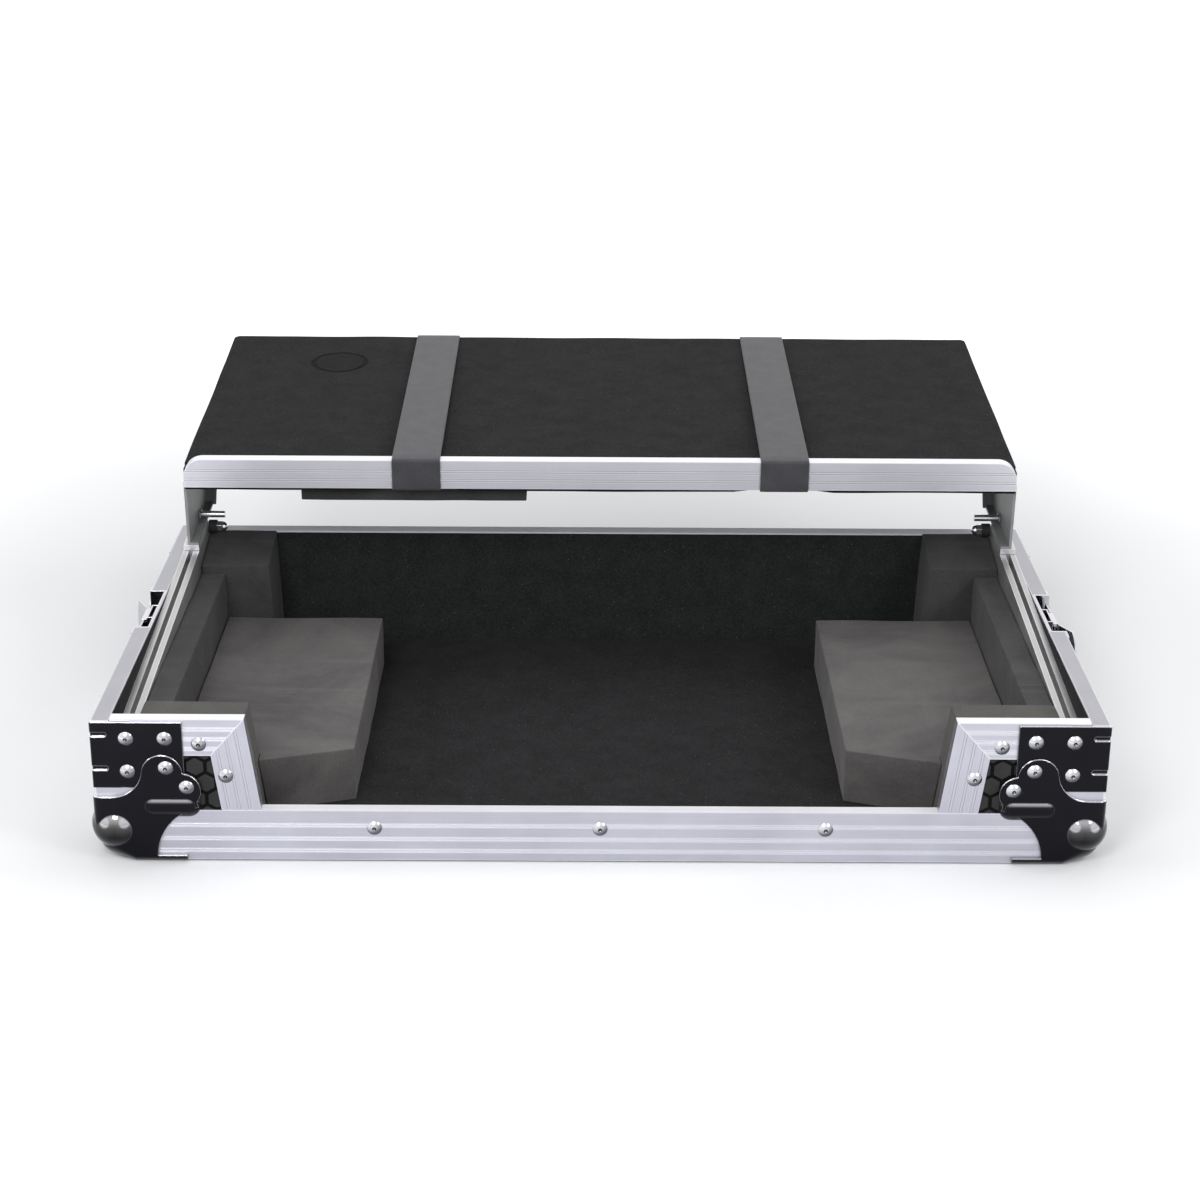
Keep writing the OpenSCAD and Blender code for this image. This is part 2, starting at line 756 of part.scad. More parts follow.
module front_pad(grow)
  translate([0, side_pad_y - foam_gap + grow, 0]) rotate([90, 0, 0])
    linear_extrude(side_pad_y - foam_gap - front_w - foam_gap + 2 * grow) polygon([
      [-pad_out_x, floor_z - grow],
      [-pad_slant_x + (front_pad_z - floor_z) * tan(opening_lean) + grow, floor_z - grow],
      [-pad_slant_x + grow, front_pad_z + grow],
      [-pad_out_x, front_pad_z + grow]
    ]);

low_pad_gap = 1;
module low_pad()
  difference() {
    translate([0, 0, floor_z]) linear_extrude(low_pad_z - floor_z) polygon([
      [-pad_in_x + low_pad_gap, rear_pad_y - foam_gap],
      [-low_pad_x, rear_pad_y - foam_gap],
      [-low_pad_x, low_pad_y],
      [-opening_x, low_pad_y - low_pad_nose],
      [-pad_in_x + low_pad_gap, low_pad_y - low_pad_nose]
    ]);
    front_pad(foam_gap);
  }

module rear_pad()
  difference() {
    intersection() {
      translate([0, back_in_y, 0]) rotate([90, 0, 0]) linear_extrude(rear_pad_l) polygon([
        [-pad_out_x, floor_z], [-rear_pad_x + rear_pad_lean, floor_z],
        [-rear_pad_x, rear_pad_z + rear_pad_rise], [-pad_out_x, rear_pad_z + rear_pad_rise]
      ]);
      translate([-half_w, 0, 0]) rotate([90, 0, 90]) linear_extrude(half_w) polygon([
        [rear_pad_y, floor_z], [back_in_y - foam_gap, floor_z],
        [back_in_y - foam_gap, rear_pad_z + rear_pad_rise], [rear_pad_y, rear_pad_z]
      ]);
    }
    // Relief round the stop ring and its nut
    on_track() translate([-track_in_x - over, stud_y, -stud_drop]) rotate([0, 90, 0])
      cylinder(r = ring_r + 2 * foam_gap, h = ring_w + 2 * nut_l);
  }

// Shelf, in the frame that leans with the tracks

lip_rib_shares = [0.30, 0.62];
module shelf_trim()
  on_track() intersection() {
    translate([-shelf_half, 0, 0]) rotate([90, 0, 90]) linear_extrude(2 * shelf_half) difference() {
      union() {
        translate([shelf_y, shelf_lift]) square([lip_t, lip_top - shelf_lift]);
        translate([shelf_y, shelf_top - carpet_t]) square([lip_l, lip_h + carpet_t]);
      }
      translate([shelf_y, shelf_lift]) grooves2d(lip_top - shelf_lift, lip_rib_shares);
    }
    translate([0, shelf_y + lip_l + over, 0]) rotate([90, 0, 0]) linear_extrude(lip_l + 2 * over) union() {
      translate([-shelf_half, shelf_lift]) square([2 * shelf_half, lip_top - shelf_lift - lip_r]);
      translate([-shelf_half + lip_r, shelf_lift])
        square([2 * (shelf_half - lip_r), lip_top - shelf_lift]);
      for (side = [-1, 1]) translate([side * (shelf_half - lip_r), lip_top - lip_r])
        circle(lip_r, $fn = 96);
    }
  }

module shelf_board()
  on_track() block([-shelf_half + carpet_t, shelf_y + lip_t, shelf_lift + carpet_t],
                   [shelf_half - carpet_t, shelf_end - carpet_t, shelf_top - carpet_t]);

module shelf_carpet()
  on_track() difference() {
    translate([0, 0, shelf_lift]) linear_extrude(shelf_t) {
      translate([-shelf_half, shelf_y + lip_t]) square([2 * shelf_half, shelf_l - lip_t - shelf_r]);
      translate([-shelf_half + shelf_r, shelf_y + lip_t])
        square([2 * (shelf_half - shelf_r), shelf_l - lip_t]);
      for (side = [-1, 1]) translate([side * (shelf_half - shelf_r), shelf_end - shelf_r])
        circle(shelf_r);
    }
    block([-shelf_half + carpet_t, shelf_y - over, shelf_lift + carpet_t],
          [shelf_half - carpet_t, shelf_end - carpet_t, shelf_top - carpet_t]);
    // The carpet ends behind the front lip
    block([-shelf_half - over, shelf_y - over, shelf_top - carpet_t],
          [shelf_half + over, shelf_y + lip_l, shelf_top + over]);
  }

module strap(x)
  on_track() translate([x - strap_w / 2, 0, 0]) rotate([90, 0, 90]) linear_extrude(strap_w) difference() {
    polygon([
      [shelf_y - strap_t, shelf_lift - strap_t], [shelf_y - strap_t, lip_top + strap_t],
      [shelf_y + lip_l, lip_top + strap_t], [shelf_end + strap_t, shelf_top + strap_t],
      [shelf_end + strap_t, shelf_lift - strap_t]
    ]);
    polygon([
      [shelf_y, shelf_lift], [shelf_y, lip_top], [shelf_y + lip_l, lip_top],
      [shelf_end, shelf_top], [shelf_end, shelf_lift]
    ]);
  }

module shelf_strip()
  on_track() difference() {
    block([-strip_x, shelf_y + strip_in, shelf_lift - strip_t],
          [-strip_x + strip_w, shelf_y + strip_in + strip_l, shelf_lift]);
    block([-strap_x - strap_w / 2 - foam_gap, shelf_y - over, shelf_lift - strap_t - foam_gap],
          [-strap_x + strap_w / 2 + foam_gap, shelf_y + strip_in + strip_l + over, shelf_lift + over]);
  }

// Legs

web_out_x = shelf_half + leg_t;
flange_z = shoe_z + leg_t;
module leg()
  on_track() difference() {
    union() {
      // Web, narrower along the track than under the shelf
      translate([-web_out_x, 0, 0]) rotate([90, 0, 90]) linear_extrude(leg_t) polygon([
        [leg_y, shoe_z], [leg_y + leg_foot_l, shoe_z],
        [leg_y + leg_top_l, shelf_lift], [leg_y, shelf_lift]
      ]);
      // Flange under the shelf and foot on the shoe
      block([-web_out_x, leg_y, shelf_lift - leg_t],
            [-web_out_x + leg_flange_w, leg_y + leg_top_l, shelf_lift]);
      block([-web_out_x, leg_y, shoe_z], [-track_in_x - gap, leg_y + leg_foot_l, flange_z]);
      // Stiffening flange along the sloping back edge
      translate([-web_out_x, 0, 0]) rotate([90, 0, 90]) linear_extrude(leg_rear_w) polygon([
        [leg_y + leg_foot_l - leg_t, shoe_z], [leg_y + leg_foot_l, shoe_z],
        [leg_y + leg_top_l, shelf_lift], [leg_y + leg_top_l - leg_t, shelf_lift]
      ]);
    }
    translate([-web_out_x - over, bolt_y, bolt_z]) rotate([0, 90, 0])
      cylinder(r = bolt_r + bore_gap, h = leg_t + 2 * over);
  }

module glide_shoe()
  on_track() {
    block([-inner_x + gap, leg_y, run_gap], [-track_in_x - gap, leg_y + shoe_l, shoe_z]);
    block([-groove_x - track_gap / 2 + run_gap, leg_y, -guide_d],
          [-groove_x + track_gap / 2 - run_gap, leg_y + shoe_l, shoe_z]);
  }

head_h = 2.2;
head_share = 1.5;
nut_share = 1.6;
module leg_bolt()
  on_track() translate([-web_out_x, bolt_y, bolt_z]) rotate([0, 90, 0]) {
    cylinder(r = bolt_r, h = bolt_l);
    translate([0, 0, -head_h / 2]) cylinder(r = head_share * bolt_r, h = head_h / 2);
    translate([0, 0, leg_t]) cylinder(r = nut_share * bolt_r, h = head_h, $fn = 6);
  }

screw_r = 3;
screw_h = 1.4;
screw_shares = [0.12, 0.50, 0.88];
screw_x_share = 0.6;
module leg_screw()
  on_track() for (share = screw_shares)
    translate([-web_out_x + screw_x_share * leg_flange_w, leg_y + share * leg_top_l, shelf_lift - leg_t - screw_h])
      cylinder(r = screw_r, h = screw_h);

// Latches: x runs out of the wall from its face, z runs up from the rim

dish_in = -trim_t - wall_t;
hook_t = 2;
housing_t = 1.2;
plate_t = 1.2;
hook_x = dish_in + dish_t + gap;
cam_x = hook_x + hook_t + gap;
cam_t = 1;
front_x = cam_x + cam_t + gap;
hub_x = front_x + housing_t + gap;
leaf_t = 1.2;
knuckle_r = 1.6;
pin_x = hub_x + knuckle_r + gap;
housing_top = 2;
cam_r = crank_r + crank_pin_r + cam_t / 2;

module latch_dish() {
  difference() {
    union() {
      block([dish_in, -dish_l / 2, -dish_h], [dish_t, dish_l / 2, 0]);
      translate([0, 0, 0]) rotate([90, 0, 90]) linear_extrude(dish_t) intersection() {
        translate([-dish_l / 2 - dish_flange, -dish_h - dish_flange])
          square([dish_l + 2 * dish_flange, dish_h + dish_flange]);
        union() {
          translate([-dish_l / 2 - dish_flange, -dish_h])
            square([dish_l + 2 * dish_flange, dish_h]);
          translate([-dish_l / 2, -dish_h - dish_flange]) square([dish_l, dish_h]);
          for (side = [-1, 1]) translate([side * dish_l / 2, -dish_h]) circle(dish_flange);
        }
      }
    }
    block([dish_in + dish_t, -dish_l / 2 + dish_t, -dish_h + dish_t],
          [dish_t + over, dish_l / 2 - dish_t, over]);
  }
  // Housing that guides the hook and carries the key's shaft
  difference() {
    block([dish_in + dish_t, -housing_w / 2, -housing_top - housing_h],
          [front_x + housing_t, housing_w / 2, -housing_top]);
    block([dish_in + dish_t - over, -housing_w / 2 + housing_t, -housing_top - housing_h + housing_t],
          [front_x, housing_w / 2 - housing_t, over]);
    translate([front_x - over, 0, -key_drop]) rotate([0, 90, 0])
      cylinder(r = shaft_r + bore_gap, h = housing_t + 2 * over);
  }
}

// Hook: a plate with a cross slot for the crank pin and a notch for the keeper
hook_half = housing_w / 2 - housing_t - gap;
hook_low = 44;
hook_top = 4;
notch_z = 8;
notch_h = 4;
slot_play = 1.35;
module latch_hook()
  difference() {
    block([hook_x, -hook_half, -hook_low], [hook_x + hook_t, hook_half, -hook_top]);
    block([hook_x - over, -crank_r - crank_pin_r - gap, -key_drop - crank_r - crank_pin_r - slot_play],
          [hook_x + hook_t + over, crank_r + crank_pin_r + gap, -key_drop - crank_r + crank_pin_r + slot_play]);
    block([hook_x - over, -hook_half / 2, -notch_z - notch_h], [hook_x + hook_t + over, far, -notch_z]);
  }

lug_w = 1.8;
lug_z = wing_h / 2 - lug_w - gap;
module latch_key()
  translate([0, 0, -key_drop]) {
    rotate([0, 90, 0]) {
      translate([0, 0, cam_x]) cylinder(r = cam_r, h = cam_t);
      translate([0, 0, cam_x]) cylinder(r = shaft_r, h = hub_x - cam_x + plate_t / 2);
      translate([crank_r, 0, hook_x]) cylinder(r = crank_pin_r, h = cam_x - hook_x + cam_t / 2);
    }
    block([hub_x, -wing_pin_y + knuckle_r + gap, -wing_h / 2],
          [hub_x + plate_t, wing_pin_y - knuckle_r - gap, wing_h / 2]);
    for (side = [-1, 1]) {
      for (end = [-1, 1])
        translate([hub_x, side * wing_pin_y / 2 + side * knuckle_r / 2, end * (wing_h / 2 - lug_w / 2)])
          translate([0, -wing_pin_y / 2 - knuckle_r / 2, -lug_w / 2])
            cube([pin_x - hub_x + knuckle_r, wing_pin_y + knuckle_r, lug_w]);
      translate([pin_x, side * wing_pin_y, -wing_h / 2]) cylinder(r = wing_pin_r, h = wing_h);
    }
  }

// Wing on the side of -Y, turned out of the wall by angle a about its pin
module latch_wing(a)
  translate([pin_x, -wing_pin_y, -key_drop]) rotate([0, 0, a]) translate([-pin_x, wing_pin_y, 0])
    difference() {
      union() {
        translate([pin_x, -wing_pin_y, -lug_z]) cylinder(r = knuckle_r, h = 2 * lug_z);
        translate([pin_x - leaf_t / 2, 0, 0]) rotate([90, 0, 90]) linear_extrude(leaf_t) intersection() {
          circle(wing_r, $fn = 96);
          union() {
            translate([-wing_r, -wing_h / 2]) square([wing_r - wing_pin_y - knuckle_r - gap - leaf_t, wing_h]);
            translate([-wing_r, -lug_z]) square([wing_r - wing_pin_y, 2 * lug_z]);
          }
        }
      }
      translate([pin_x, -wing_pin_y, -wing_h]) cylinder(r = wing_pin_r + bore_gap, h = 2 * wing_h);
    }

laminate() placed() floor_panel();
laminate() placed() wall_front();
laminate() placed() wall_back();
laminate() placed() difference() {  // wall_left
  wall_side();
  at_left() dish_cut();
}
laminate() placed() difference() {  // wall_right
  mirror([1, 0, 0]) wall_side();
  at_right() dish_cut();
}
carpet() placed() lining_floor();
carpet() placed() lining_back();
carpet() placed() both() lining_side();  // lining_sides
alu() placed() sill_trim();
alu() placed() both() base_trim_side();  // base_trim_sides
alu() placed() base_trim_back();
alu() placed() rim_left();
alu() placed() rim_right();
alu() placed() rim_back();
alu() placed() post_top();  // post_top_left
alu() placed() mirror([1, 0, 0]) post_top();  // post_top_right
alu() placed() post_side();  // post_side_left
alu() placed() mirror([1, 0, 0]) post_side();  // post_side_right
alu() placed()  // corner_angles
  at_corners() corner_angle();
chrome() placed()  // corner_brackets
  at_corners() bracket();
chrome() placed() corner_at(-1, -1) ball_corner();  // ball_corner_fl
chrome() placed() corner_at(1, -1) ball_corner();  // ball_corner_fr
chrome() placed() corner_at(-1, 1) ball_corner();  // ball_corner_bl
chrome() placed() corner_at(1, 1) ball_corner();  // ball_corner_br
alu() placed() rivets();
alu() placed() track();  // track_left
alu() placed() mirror([1, 0, 0]) track();  // track_right
rubber() placed() both() track_stop();  // track_stops
chrome() placed() both() stop_stud();  // stop_studs
rubber() placed() both() stop_ring();  // stop_rings
foam() placed() side_pad();  // side_pad_left
foam() placed() mirror([1, 0, 0]) side_pad();  // side_pad_right
foam() placed() front_pad(0);  // front_pad_left
foam() placed() mirror([1, 0, 0]) front_pad(0);  // front_pad_right
foam() placed() low_pad();  // low_pad_left
foam() placed() mirror([1, 0, 0]) low_pad();  // low_pad_right
foam() placed() rear_pad();  // rear_pad_left
foam() placed() mirror([1, 0, 0]) rear_pad();  // rear_pad_right
chrome() placed() at_left() latch_dish();  // latch_dish_left
chrome() placed() at_right() latch_dish();  // latch_dish_right
chrome() placed() at_left() latch_key();  // latch_key_left
chrome() placed() at_right() latch_key();  // latch_key_right
steel() placed() at_left() latch_hook();  // latch_hook_left
steel() placed() at_right() latch_hook();  // latch_hook_right
chrome() placed() at_left() latch_wing(wing_open);  // wing_open_left
chrome() placed() at_right() latch_wing(wing_open);  // wing_open_right
chrome() placed() at_left() mirror([0, 1, 0]) latch_wing(0);  // wing_flat_left
chrome() placed() at_right() mirror([0, 1, 0]) latch_wing(0);  // wing_flat_right
laminate() placed() shelf_board();
carpet() placed() shelf_carpet();
alu() placed() shelf_trim();
foam() placed() shelf_strip();
webbing() placed() strap(-strap_x);  // strap_left
webbing() placed() strap(strap_x);  // strap_right
steel() placed() leg();  // leg_left
steel() placed() mirror([1, 0, 0]) leg();  // leg_right
alu() placed() both() glide_shoe();  // glide_shoes
chrome() placed() both() leg_bolt();  // leg_bolts
steel() placed() both() leg_screw();  // leg_screws
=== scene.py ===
import math

import bmesh
import bpy
from mathutils import Matrix, Vector, noise


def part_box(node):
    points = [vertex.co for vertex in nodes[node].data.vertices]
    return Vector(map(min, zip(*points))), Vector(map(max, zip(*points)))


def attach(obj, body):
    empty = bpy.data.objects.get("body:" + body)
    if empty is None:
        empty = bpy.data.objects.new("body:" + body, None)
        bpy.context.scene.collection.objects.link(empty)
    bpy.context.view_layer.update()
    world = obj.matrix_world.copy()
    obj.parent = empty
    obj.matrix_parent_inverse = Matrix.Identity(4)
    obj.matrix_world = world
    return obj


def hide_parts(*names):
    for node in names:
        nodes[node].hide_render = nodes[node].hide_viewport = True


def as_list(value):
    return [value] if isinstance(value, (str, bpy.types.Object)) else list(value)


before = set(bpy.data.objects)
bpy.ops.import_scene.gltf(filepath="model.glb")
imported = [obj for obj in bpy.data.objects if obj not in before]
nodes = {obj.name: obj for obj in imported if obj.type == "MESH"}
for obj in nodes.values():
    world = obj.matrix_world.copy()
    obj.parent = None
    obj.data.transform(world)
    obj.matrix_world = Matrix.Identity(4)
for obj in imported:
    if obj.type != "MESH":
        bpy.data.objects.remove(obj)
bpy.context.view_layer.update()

print("frame loaded:", len(nodes), "nodes")

# The tray's own axes: zero is the middle of the front face, at the underside of the floor
trayOrigin = Vector((0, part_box("sill_trim")[0].y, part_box("sill_trim")[0].z))
slope = {"rise": 0.0783, "angle": math.radians(4.4)}
toTray = Matrix.Translation(trayOrigin)
lifted = toTray @ Matrix.Translation((0, 0, slope["rise"]))
toShelf = lifted @ Matrix.Rotation(slope["angle"], 4, "X")


# Small helpers for node trees
def feed(tree, node, inputs):
    # Inputs go by their label, or by their place as i0, i1 and so on
    for key, value in inputs.items():
        byPlace = key[0] == "i" and key[1:].isdigit()
        socket = node.inputs[int(key[1:]) if byPlace else key]
        if isinstance(value, bpy.types.NodeSocket):
            tree.links.new(value, socket)
        else:
            socket.default_value = value


def addNode(tree, kind, settings=None, **inputs):
    node = tree.nodes.new(kind)
    for key, value in (settings or {}).items():
        setattr(node, key, value)
    feed(tree, node, inputs)
    return node


def calc(tree, operation, a, b=0.0, c=0.0):
    return addNode(tree, "ShaderNodeMath", {"operation": operation}, i0=a, i1=b, i2=c).outputs[0]


def vectorCalc(tree, operation, a, b=(0, 0, 0)):
    node = addNode(tree, "ShaderNodeVectorMath", {"operation": operation}, i0=a, i1=b)
    return node.outputs["Value" if operation in ("DOT_PRODUCT", "DISTANCE", "LENGTH") else "Vector"]


def split(tree, vector):
    return addNode(tree, "ShaderNodeSeparateXYZ", None, Vector=vector).outputs


def ramp(tree, value, low, high, start=0.0, end=1.0, kind="LINEAR"):
    limits = {"From Min": low, "From Max": high, "To Min": start, "To Max": end}
    settings = {"clamp": True, "interpolation_type": kind}
    return addNode(tree, "ShaderNodeMapRange", settings, Value=value, **limits).outputs[0]


# Camera, light and floor
def aimCamera():
    shot = {
        "place": (-0.0072, -1.65595, 0.7191), "pitch": math.radians(21.372),
        "yaw": math.radians(0.258), "roll": math.radians(0.375), "lens": 72.08,
    }
    camera = bpy.data.objects.new("camera", bpy.data.cameras.new("camera"))
    bpy.context.scene.collection.objects.link(camera)
    camera.data.sensor_width = 36
    camera.data.lens = shot["lens"]
    camera.data.clip_start = 0.05
    camera.data.clip_end = 50
    yaw, pitch, roll = shot["yaw"], shot["pitch"], shot["roll"]
    flat = math.cos(pitch)
    ahead = Vector((math.sin(yaw) * flat, math.cos(yaw) * flat, -math.sin(pitch)))
    level = ahead.cross(Vector((0, 0, 1))).normalized()
    upright = level.cross(ahead)
    right = level * math.cos(roll) + upright * math.sin(roll)
    up = upright * math.cos(roll) - level * math.sin(roll)
    turn = Matrix((right, up, -ahead)).transposed()
    camera.matrix_world = Matrix.Translation(shot["place"]) @ turn.to_4x4()
    bpy.context.scene.camera = camera


def addLamp(name, place, target, size, power, tint=(1, 1, 1)):
    lamp = bpy.data.lights.new(name, "AREA")
    lamp.shape = "RECTANGLE"
    lamp.size, lamp.size_y = size
    lamp.energy = power
    lamp.color = tint
    holder = bpy.data.objects.new(name, lamp)
    bpy.context.scene.collection.objects.link(holder)
    holder.location = place
    holder.rotation_euler = (Vector(target) - Vector(place)).to_track_quat("-Z", "Y").to_euler()


def addLights():
    cool, middle = (0.97, 0.98, 1), (0, 0, 0.05)
    addLamp("topSoftbox", (0.0, 0.35, 1.9), (0, 0, 0), (1.6, 1.0), 6)
    addLamp("leftKey", (-0.45, -1.35, 1.15), middle, (0.5, 0.7), 8, cool)
    addLamp("rightKey", (1.1, -1.1, 1.05), middle, (0.5, 0.7), 5, cool)
    addLamp("leftFill", (-1.7, -0.2, 0.9), middle, (0.6, 0.6), 6, cool)
    addLamp("rightFill", (1.7, 0.2, 0.9), middle, (0.6, 0.6), 5, cool)


def seenDirectly(tree):
    # 1 for what the camera sees, also by way of a mirror or glass
    path = tree.nodes.new("ShaderNodeLightPath").outputs
    mirrored = calc(tree, "MAXIMUM", path["Is Glossy Ray"], path["Is Transmission Ray"])
    return calc(tree, "MAXIMUM", path["Is Camera Ray"], mirrored)


def addWorld():
    world = bpy.data.worlds.new("studio")
    bpy.context.scene.world = world
    world.use_nodes = True
    tree = world.node_tree
    tree.nodes.clear()
    room = addNode(tree, "ShaderNodeBackground", None, Color=(0.97, 0.98, 1, 1), Strength=0.5)
    page = addNode(tree, "ShaderNodeBackground", None, Color=(1, 1, 1, 1), Strength=1.0)
    mix = addNode(tree, "ShaderNodeMixShader", None,
                  i0=seenDirectly(tree), i1=room.outputs[0], i2=page.outputs[0])
    addNode(tree, "ShaderNodeOutputWorld", None, Surface=mix.outputs[0])


def addFloor():
    # The page is white to the eye and in reflections, and keeps the shadow near the tray
    page = {
        "reach": 30, "colour": (0.93, 0.93, 0.93, 1),
        "near": 0.35, "far": 1.6, "glow": (0.05, 0.95),
    }
    reach = page["reach"]
    corners = [(-reach, -reach, 0), (reach, -reach, 0), (reach, reach, 0), (-reach, reach, 0)]
    mesh = bpy.data.meshes.new("floor")
    mesh.from_pydata(corners, [], [(0, 1, 2, 3)])
    floor = bpy.data.objects.new("floor", mesh)
    bpy.context.scene.collection.objects.link(floor)
    paper = bpy.data.materials.new("paperFloor")
    paper.use_nodes = True
    tree = paper.node_tree
    away = vectorCalc(tree, "LENGTH", tree.nodes.new("ShaderNodeTexCoord").outputs["Object"])
    lift = ramp(tree, away, page["near"], page["far"], *page["glow"], kind="SMOOTHSTEP")
    feed(tree, tree.nodes["Principled BSDF"], {
        "Base Color": page["colour"], "Roughness": 1, "Specular IOR Level": 0,
        "Emission Color": (1, 1, 1, 1),
        "Emission Strength": calc(tree, "MULTIPLY", seenDirectly(tree), lift),
    })
    mesh.materials.append(paper)


aimCamera()
addLights()
addWorld()
addFloor()
bpy.context.scene.view_settings.view_transform = "Standard"
print("camera, lights and floor are set")


# Shared effects as node groups
numberSocket, vectorSocket = "NodeSocketFloat", "NodeSocketVector"


def newGroup(name, inputs, outputs):
    group = bpy.data.node_groups.new(name, "ShaderNodeTree")
    for label, kind, value in inputs:
        socket = group.interface.new_socket(label, in_out="INPUT", socket_type=kind)
        if value is not None:
            socket.default_value = value
    for label, kind in outputs:
        group.interface.new_socket(label, in_out="OUTPUT", socket_type=kind)
    return group, group.nodes.new("NodeGroupInput").outputs, group.nodes.new("NodeGroupOutput")


def closeGroup(group, end, **outputs):
    for label, socket in outputs.items():
        group.links.new(socket, end.inputs[label])
    return group


def addNoise(tree, vector, scale, detail=2.0, seed=None, **more):
    settings = None
    if seed is not None:
        settings = {"noise_dimensions": "4D"}
        more["W"] = seed
    more.update({"Vector": vector, "Scale": scale, "Detail": detail})
    return addNode(tree, "ShaderNodeTexNoise", settings, **more).outputs[0]


def buildGrain():
    # Fine lines drawn along the metal, with slow smudges across them
    group, start, end = newGroup(
        "drawnGrain",
        [("Vector", vectorSocket, None), ("Stretch", vectorSocket, (4, 400, 400)),
         ("Seed", numberSocket, 0.0)],
        [("Lines", numberSocket), ("Smudge", numberSocket), ("Scratch", numberSocket)],
    )
    place, seed = start["Vector"], start["Seed"]
    stretched = vectorCalc(group, "MULTIPLY", place, start["Stretch"])
    lines = addNoise(group, stretched, 6.0, 3.0, seed, Roughness=0.65)
    smudge = addNoise(group, place, 22.0, 4.0, seed, Roughness=0.6)
    scratch = ramp(group, addNoise(group, stretched, 1.3, 1.0, seed), 0.66, 0.72)
    return closeGroup(group, end, Lines=lines, Smudge=smudge, Scratch=scratch)


def buildFuzz():
    # Needled pile: soft lumps, fine fibres and sparse pale specks of lint
    group, start, end = newGroup(
        "needledPile",
        [("Vector", vectorSocket, None), ("Fibre", numberSocket, 850.0),
         ("Specks", numberSocket, 0.5)],
        [("Height", numberSocket), ("Lumps", numberSocket), ("Speck", numberSocket)],
    )
    place = start["Vector"]
    fibre = addNoise(group, place, start["Fibre"], 3.0, Roughness=0.7, Distortion=1.2)
    lumps = addNoise(group, place, 55.0, 4.0, Roughness=0.62)
    lint = addNode(group, "ShaderNodeTexVoronoi", {"feature": "F1"}, Vector=place, Scale=420.0)
    near = ramp(group, lint.outputs["Distance"], 0.16, 0.08)
    pick = addNode(group, "ShaderNodeSeparateColor", None, Color=lint.outputs["Color"]).outputs[0]
    limit = calc(group, "SUBTRACT", 1.0, calc(group, "MULTIPLY", start["Specks"], 0.12))
    few = calc(group, "GREATER_THAN", pick, limit)
    speck = calc(group, "MULTIPLY", near, few)
    return closeGroup(group, end, Height=fibre, Lumps=lumps, Speck=speck)


def buildPores():
    # Cut cells of closed foam, with broad rubbed patches and a few slanted streaks
    group, start, end = newGroup(
        "foamPores",
        [("Vector", vectorSocket, None), ("Cell", numberSocket, 700.0)],
        [("Height", numberSocket), ("Pit", numberSocket), ("Rubbed", numberSocket),
         ("Streak", numberSocket)],
    )
    place = start["Vector"]
    cells = addNode(group, "ShaderNodeTexVoronoi", {"feature": "SMOOTH_F1"},
                    Vector=place, Scale=start["Cell"]).outputs["Distance"]
    pits = addNoise(group, place, 1000.0)
    rubbed = addNoise(group, place, 13.0, 5.0, Roughness=0.66, Distortion=0.6)
    turned = addNode(group, "ShaderNodeMapping", None,
                     Vector=place, Rotation=(0, 0, 0.5), Scale=(7, 90, 30)).outputs[0]
    streak = ramp(group, addNoise(group, turned, 1.0, 3.0, Distortion=0.4), 0.60, 0.72)
    return closeGroup(group, end, Height=cells, Pit=pits, Rubbed=rubbed, Streak=streak)


def buildEdges():
    # Mask is 1 where the surface turns over an edge, Groove deep in a joint, Rib on a thin ridge;
    # the materials paint highlights with Mask and Rib and paint shade with Groove
    group, start, end = newGroup(
        "edgeMask",
        [("Radius", numberSocket, 0.0006), ("Gain", numberSocket, 6.0),
         ("Depth", numberSocket, 0.0015)],
        [("Mask", numberSocket), ("Groove", numberSocket), ("Rib", numberSocket)],
    )
    ribWidth, thin = 0.0009, {"samples": 6, "inside": True, "only_local": True}
    within = addNode(group, "ShaderNodeAmbientOcclusion", thin, Distance=ribWidth).outputs["AO"]
    shut = addNode(group, "ShaderNodeAmbientOcclusion", {"samples": 6}, Distance=start["Depth"])
    grooveShade = ramp(group, shut.outputs["AO"], 0.92, 0.45)
    rounded = addNode(group, "ShaderNodeBevel", {"samples": 4}, Radius=start["Radius"]).outputs[0]
    flat = group.nodes.new("ShaderNodeNewGeometry").outputs["Normal"]
    turned = calc(group, "SUBTRACT", 1.0, vectorCalc(group, "DOT_PRODUCT", rounded, flat))
    edge = addNode(group, "ShaderNodeMath", {"operation": "MULTIPLY", "use_clamp": True},
                   i0=turned, i1=start["Gain"]).outputs[0]
    mask = calc(group, "MULTIPLY", edge, calc(group, "SUBTRACT", 1.0, grooveShade))
    return closeGroup(group, end, Mask=mask, Groove=grooveShade, Rib=ramp(group, within, 0.92, 0.6))


def buildStudioTone():
    # Where a rounded surface looks up, down or towards the key light; masks for painted highlights
    # and painted shade
    group, start, end = newGroup(
        "studioTone", [("Radius", numberSocket, 0.001)],
        [("Up", numberSocket), ("Crest", numberSocket), ("Down", numberSocket),
         ("Key", numberSocket), ("Normal", vectorSocket)],
    )
    keyDirection = (-0.45, -0.35, 0.82)
    rounded = addNode(group, "ShaderNodeBevel", {"samples": 6}, Radius=start["Radius"]).outputs[0]
    height = split(group, rounded)[2]
    key = vectorCalc(group, "DOT_PRODUCT", rounded, keyDirection)
    return closeGroup(
        group, end, Up=ramp(group, height, 0.22, 0.5), Crest=ramp(group, height, 0.82, 0.9),
        Down=ramp(group, height, -0.25, -0.7), Key=ramp(group, key, 0.0, 0.85), Normal=rounded,
    )


groups = {
    "studio": buildStudioTone(), "grain": buildGrain(), "fuzz": buildFuzz(), "pores": buildPores(),
    "edges": buildEdges(),
}


# Materials
def newMaterial(name):
    material = bpy.data.materials.new(name)
    material.use_nodes = True
    tree = material.node_tree
    place = tree.nodes.new("ShaderNodeTexCoord").outputs["Object"]
    return material, tree, tree.nodes["Principled BSDF"], place


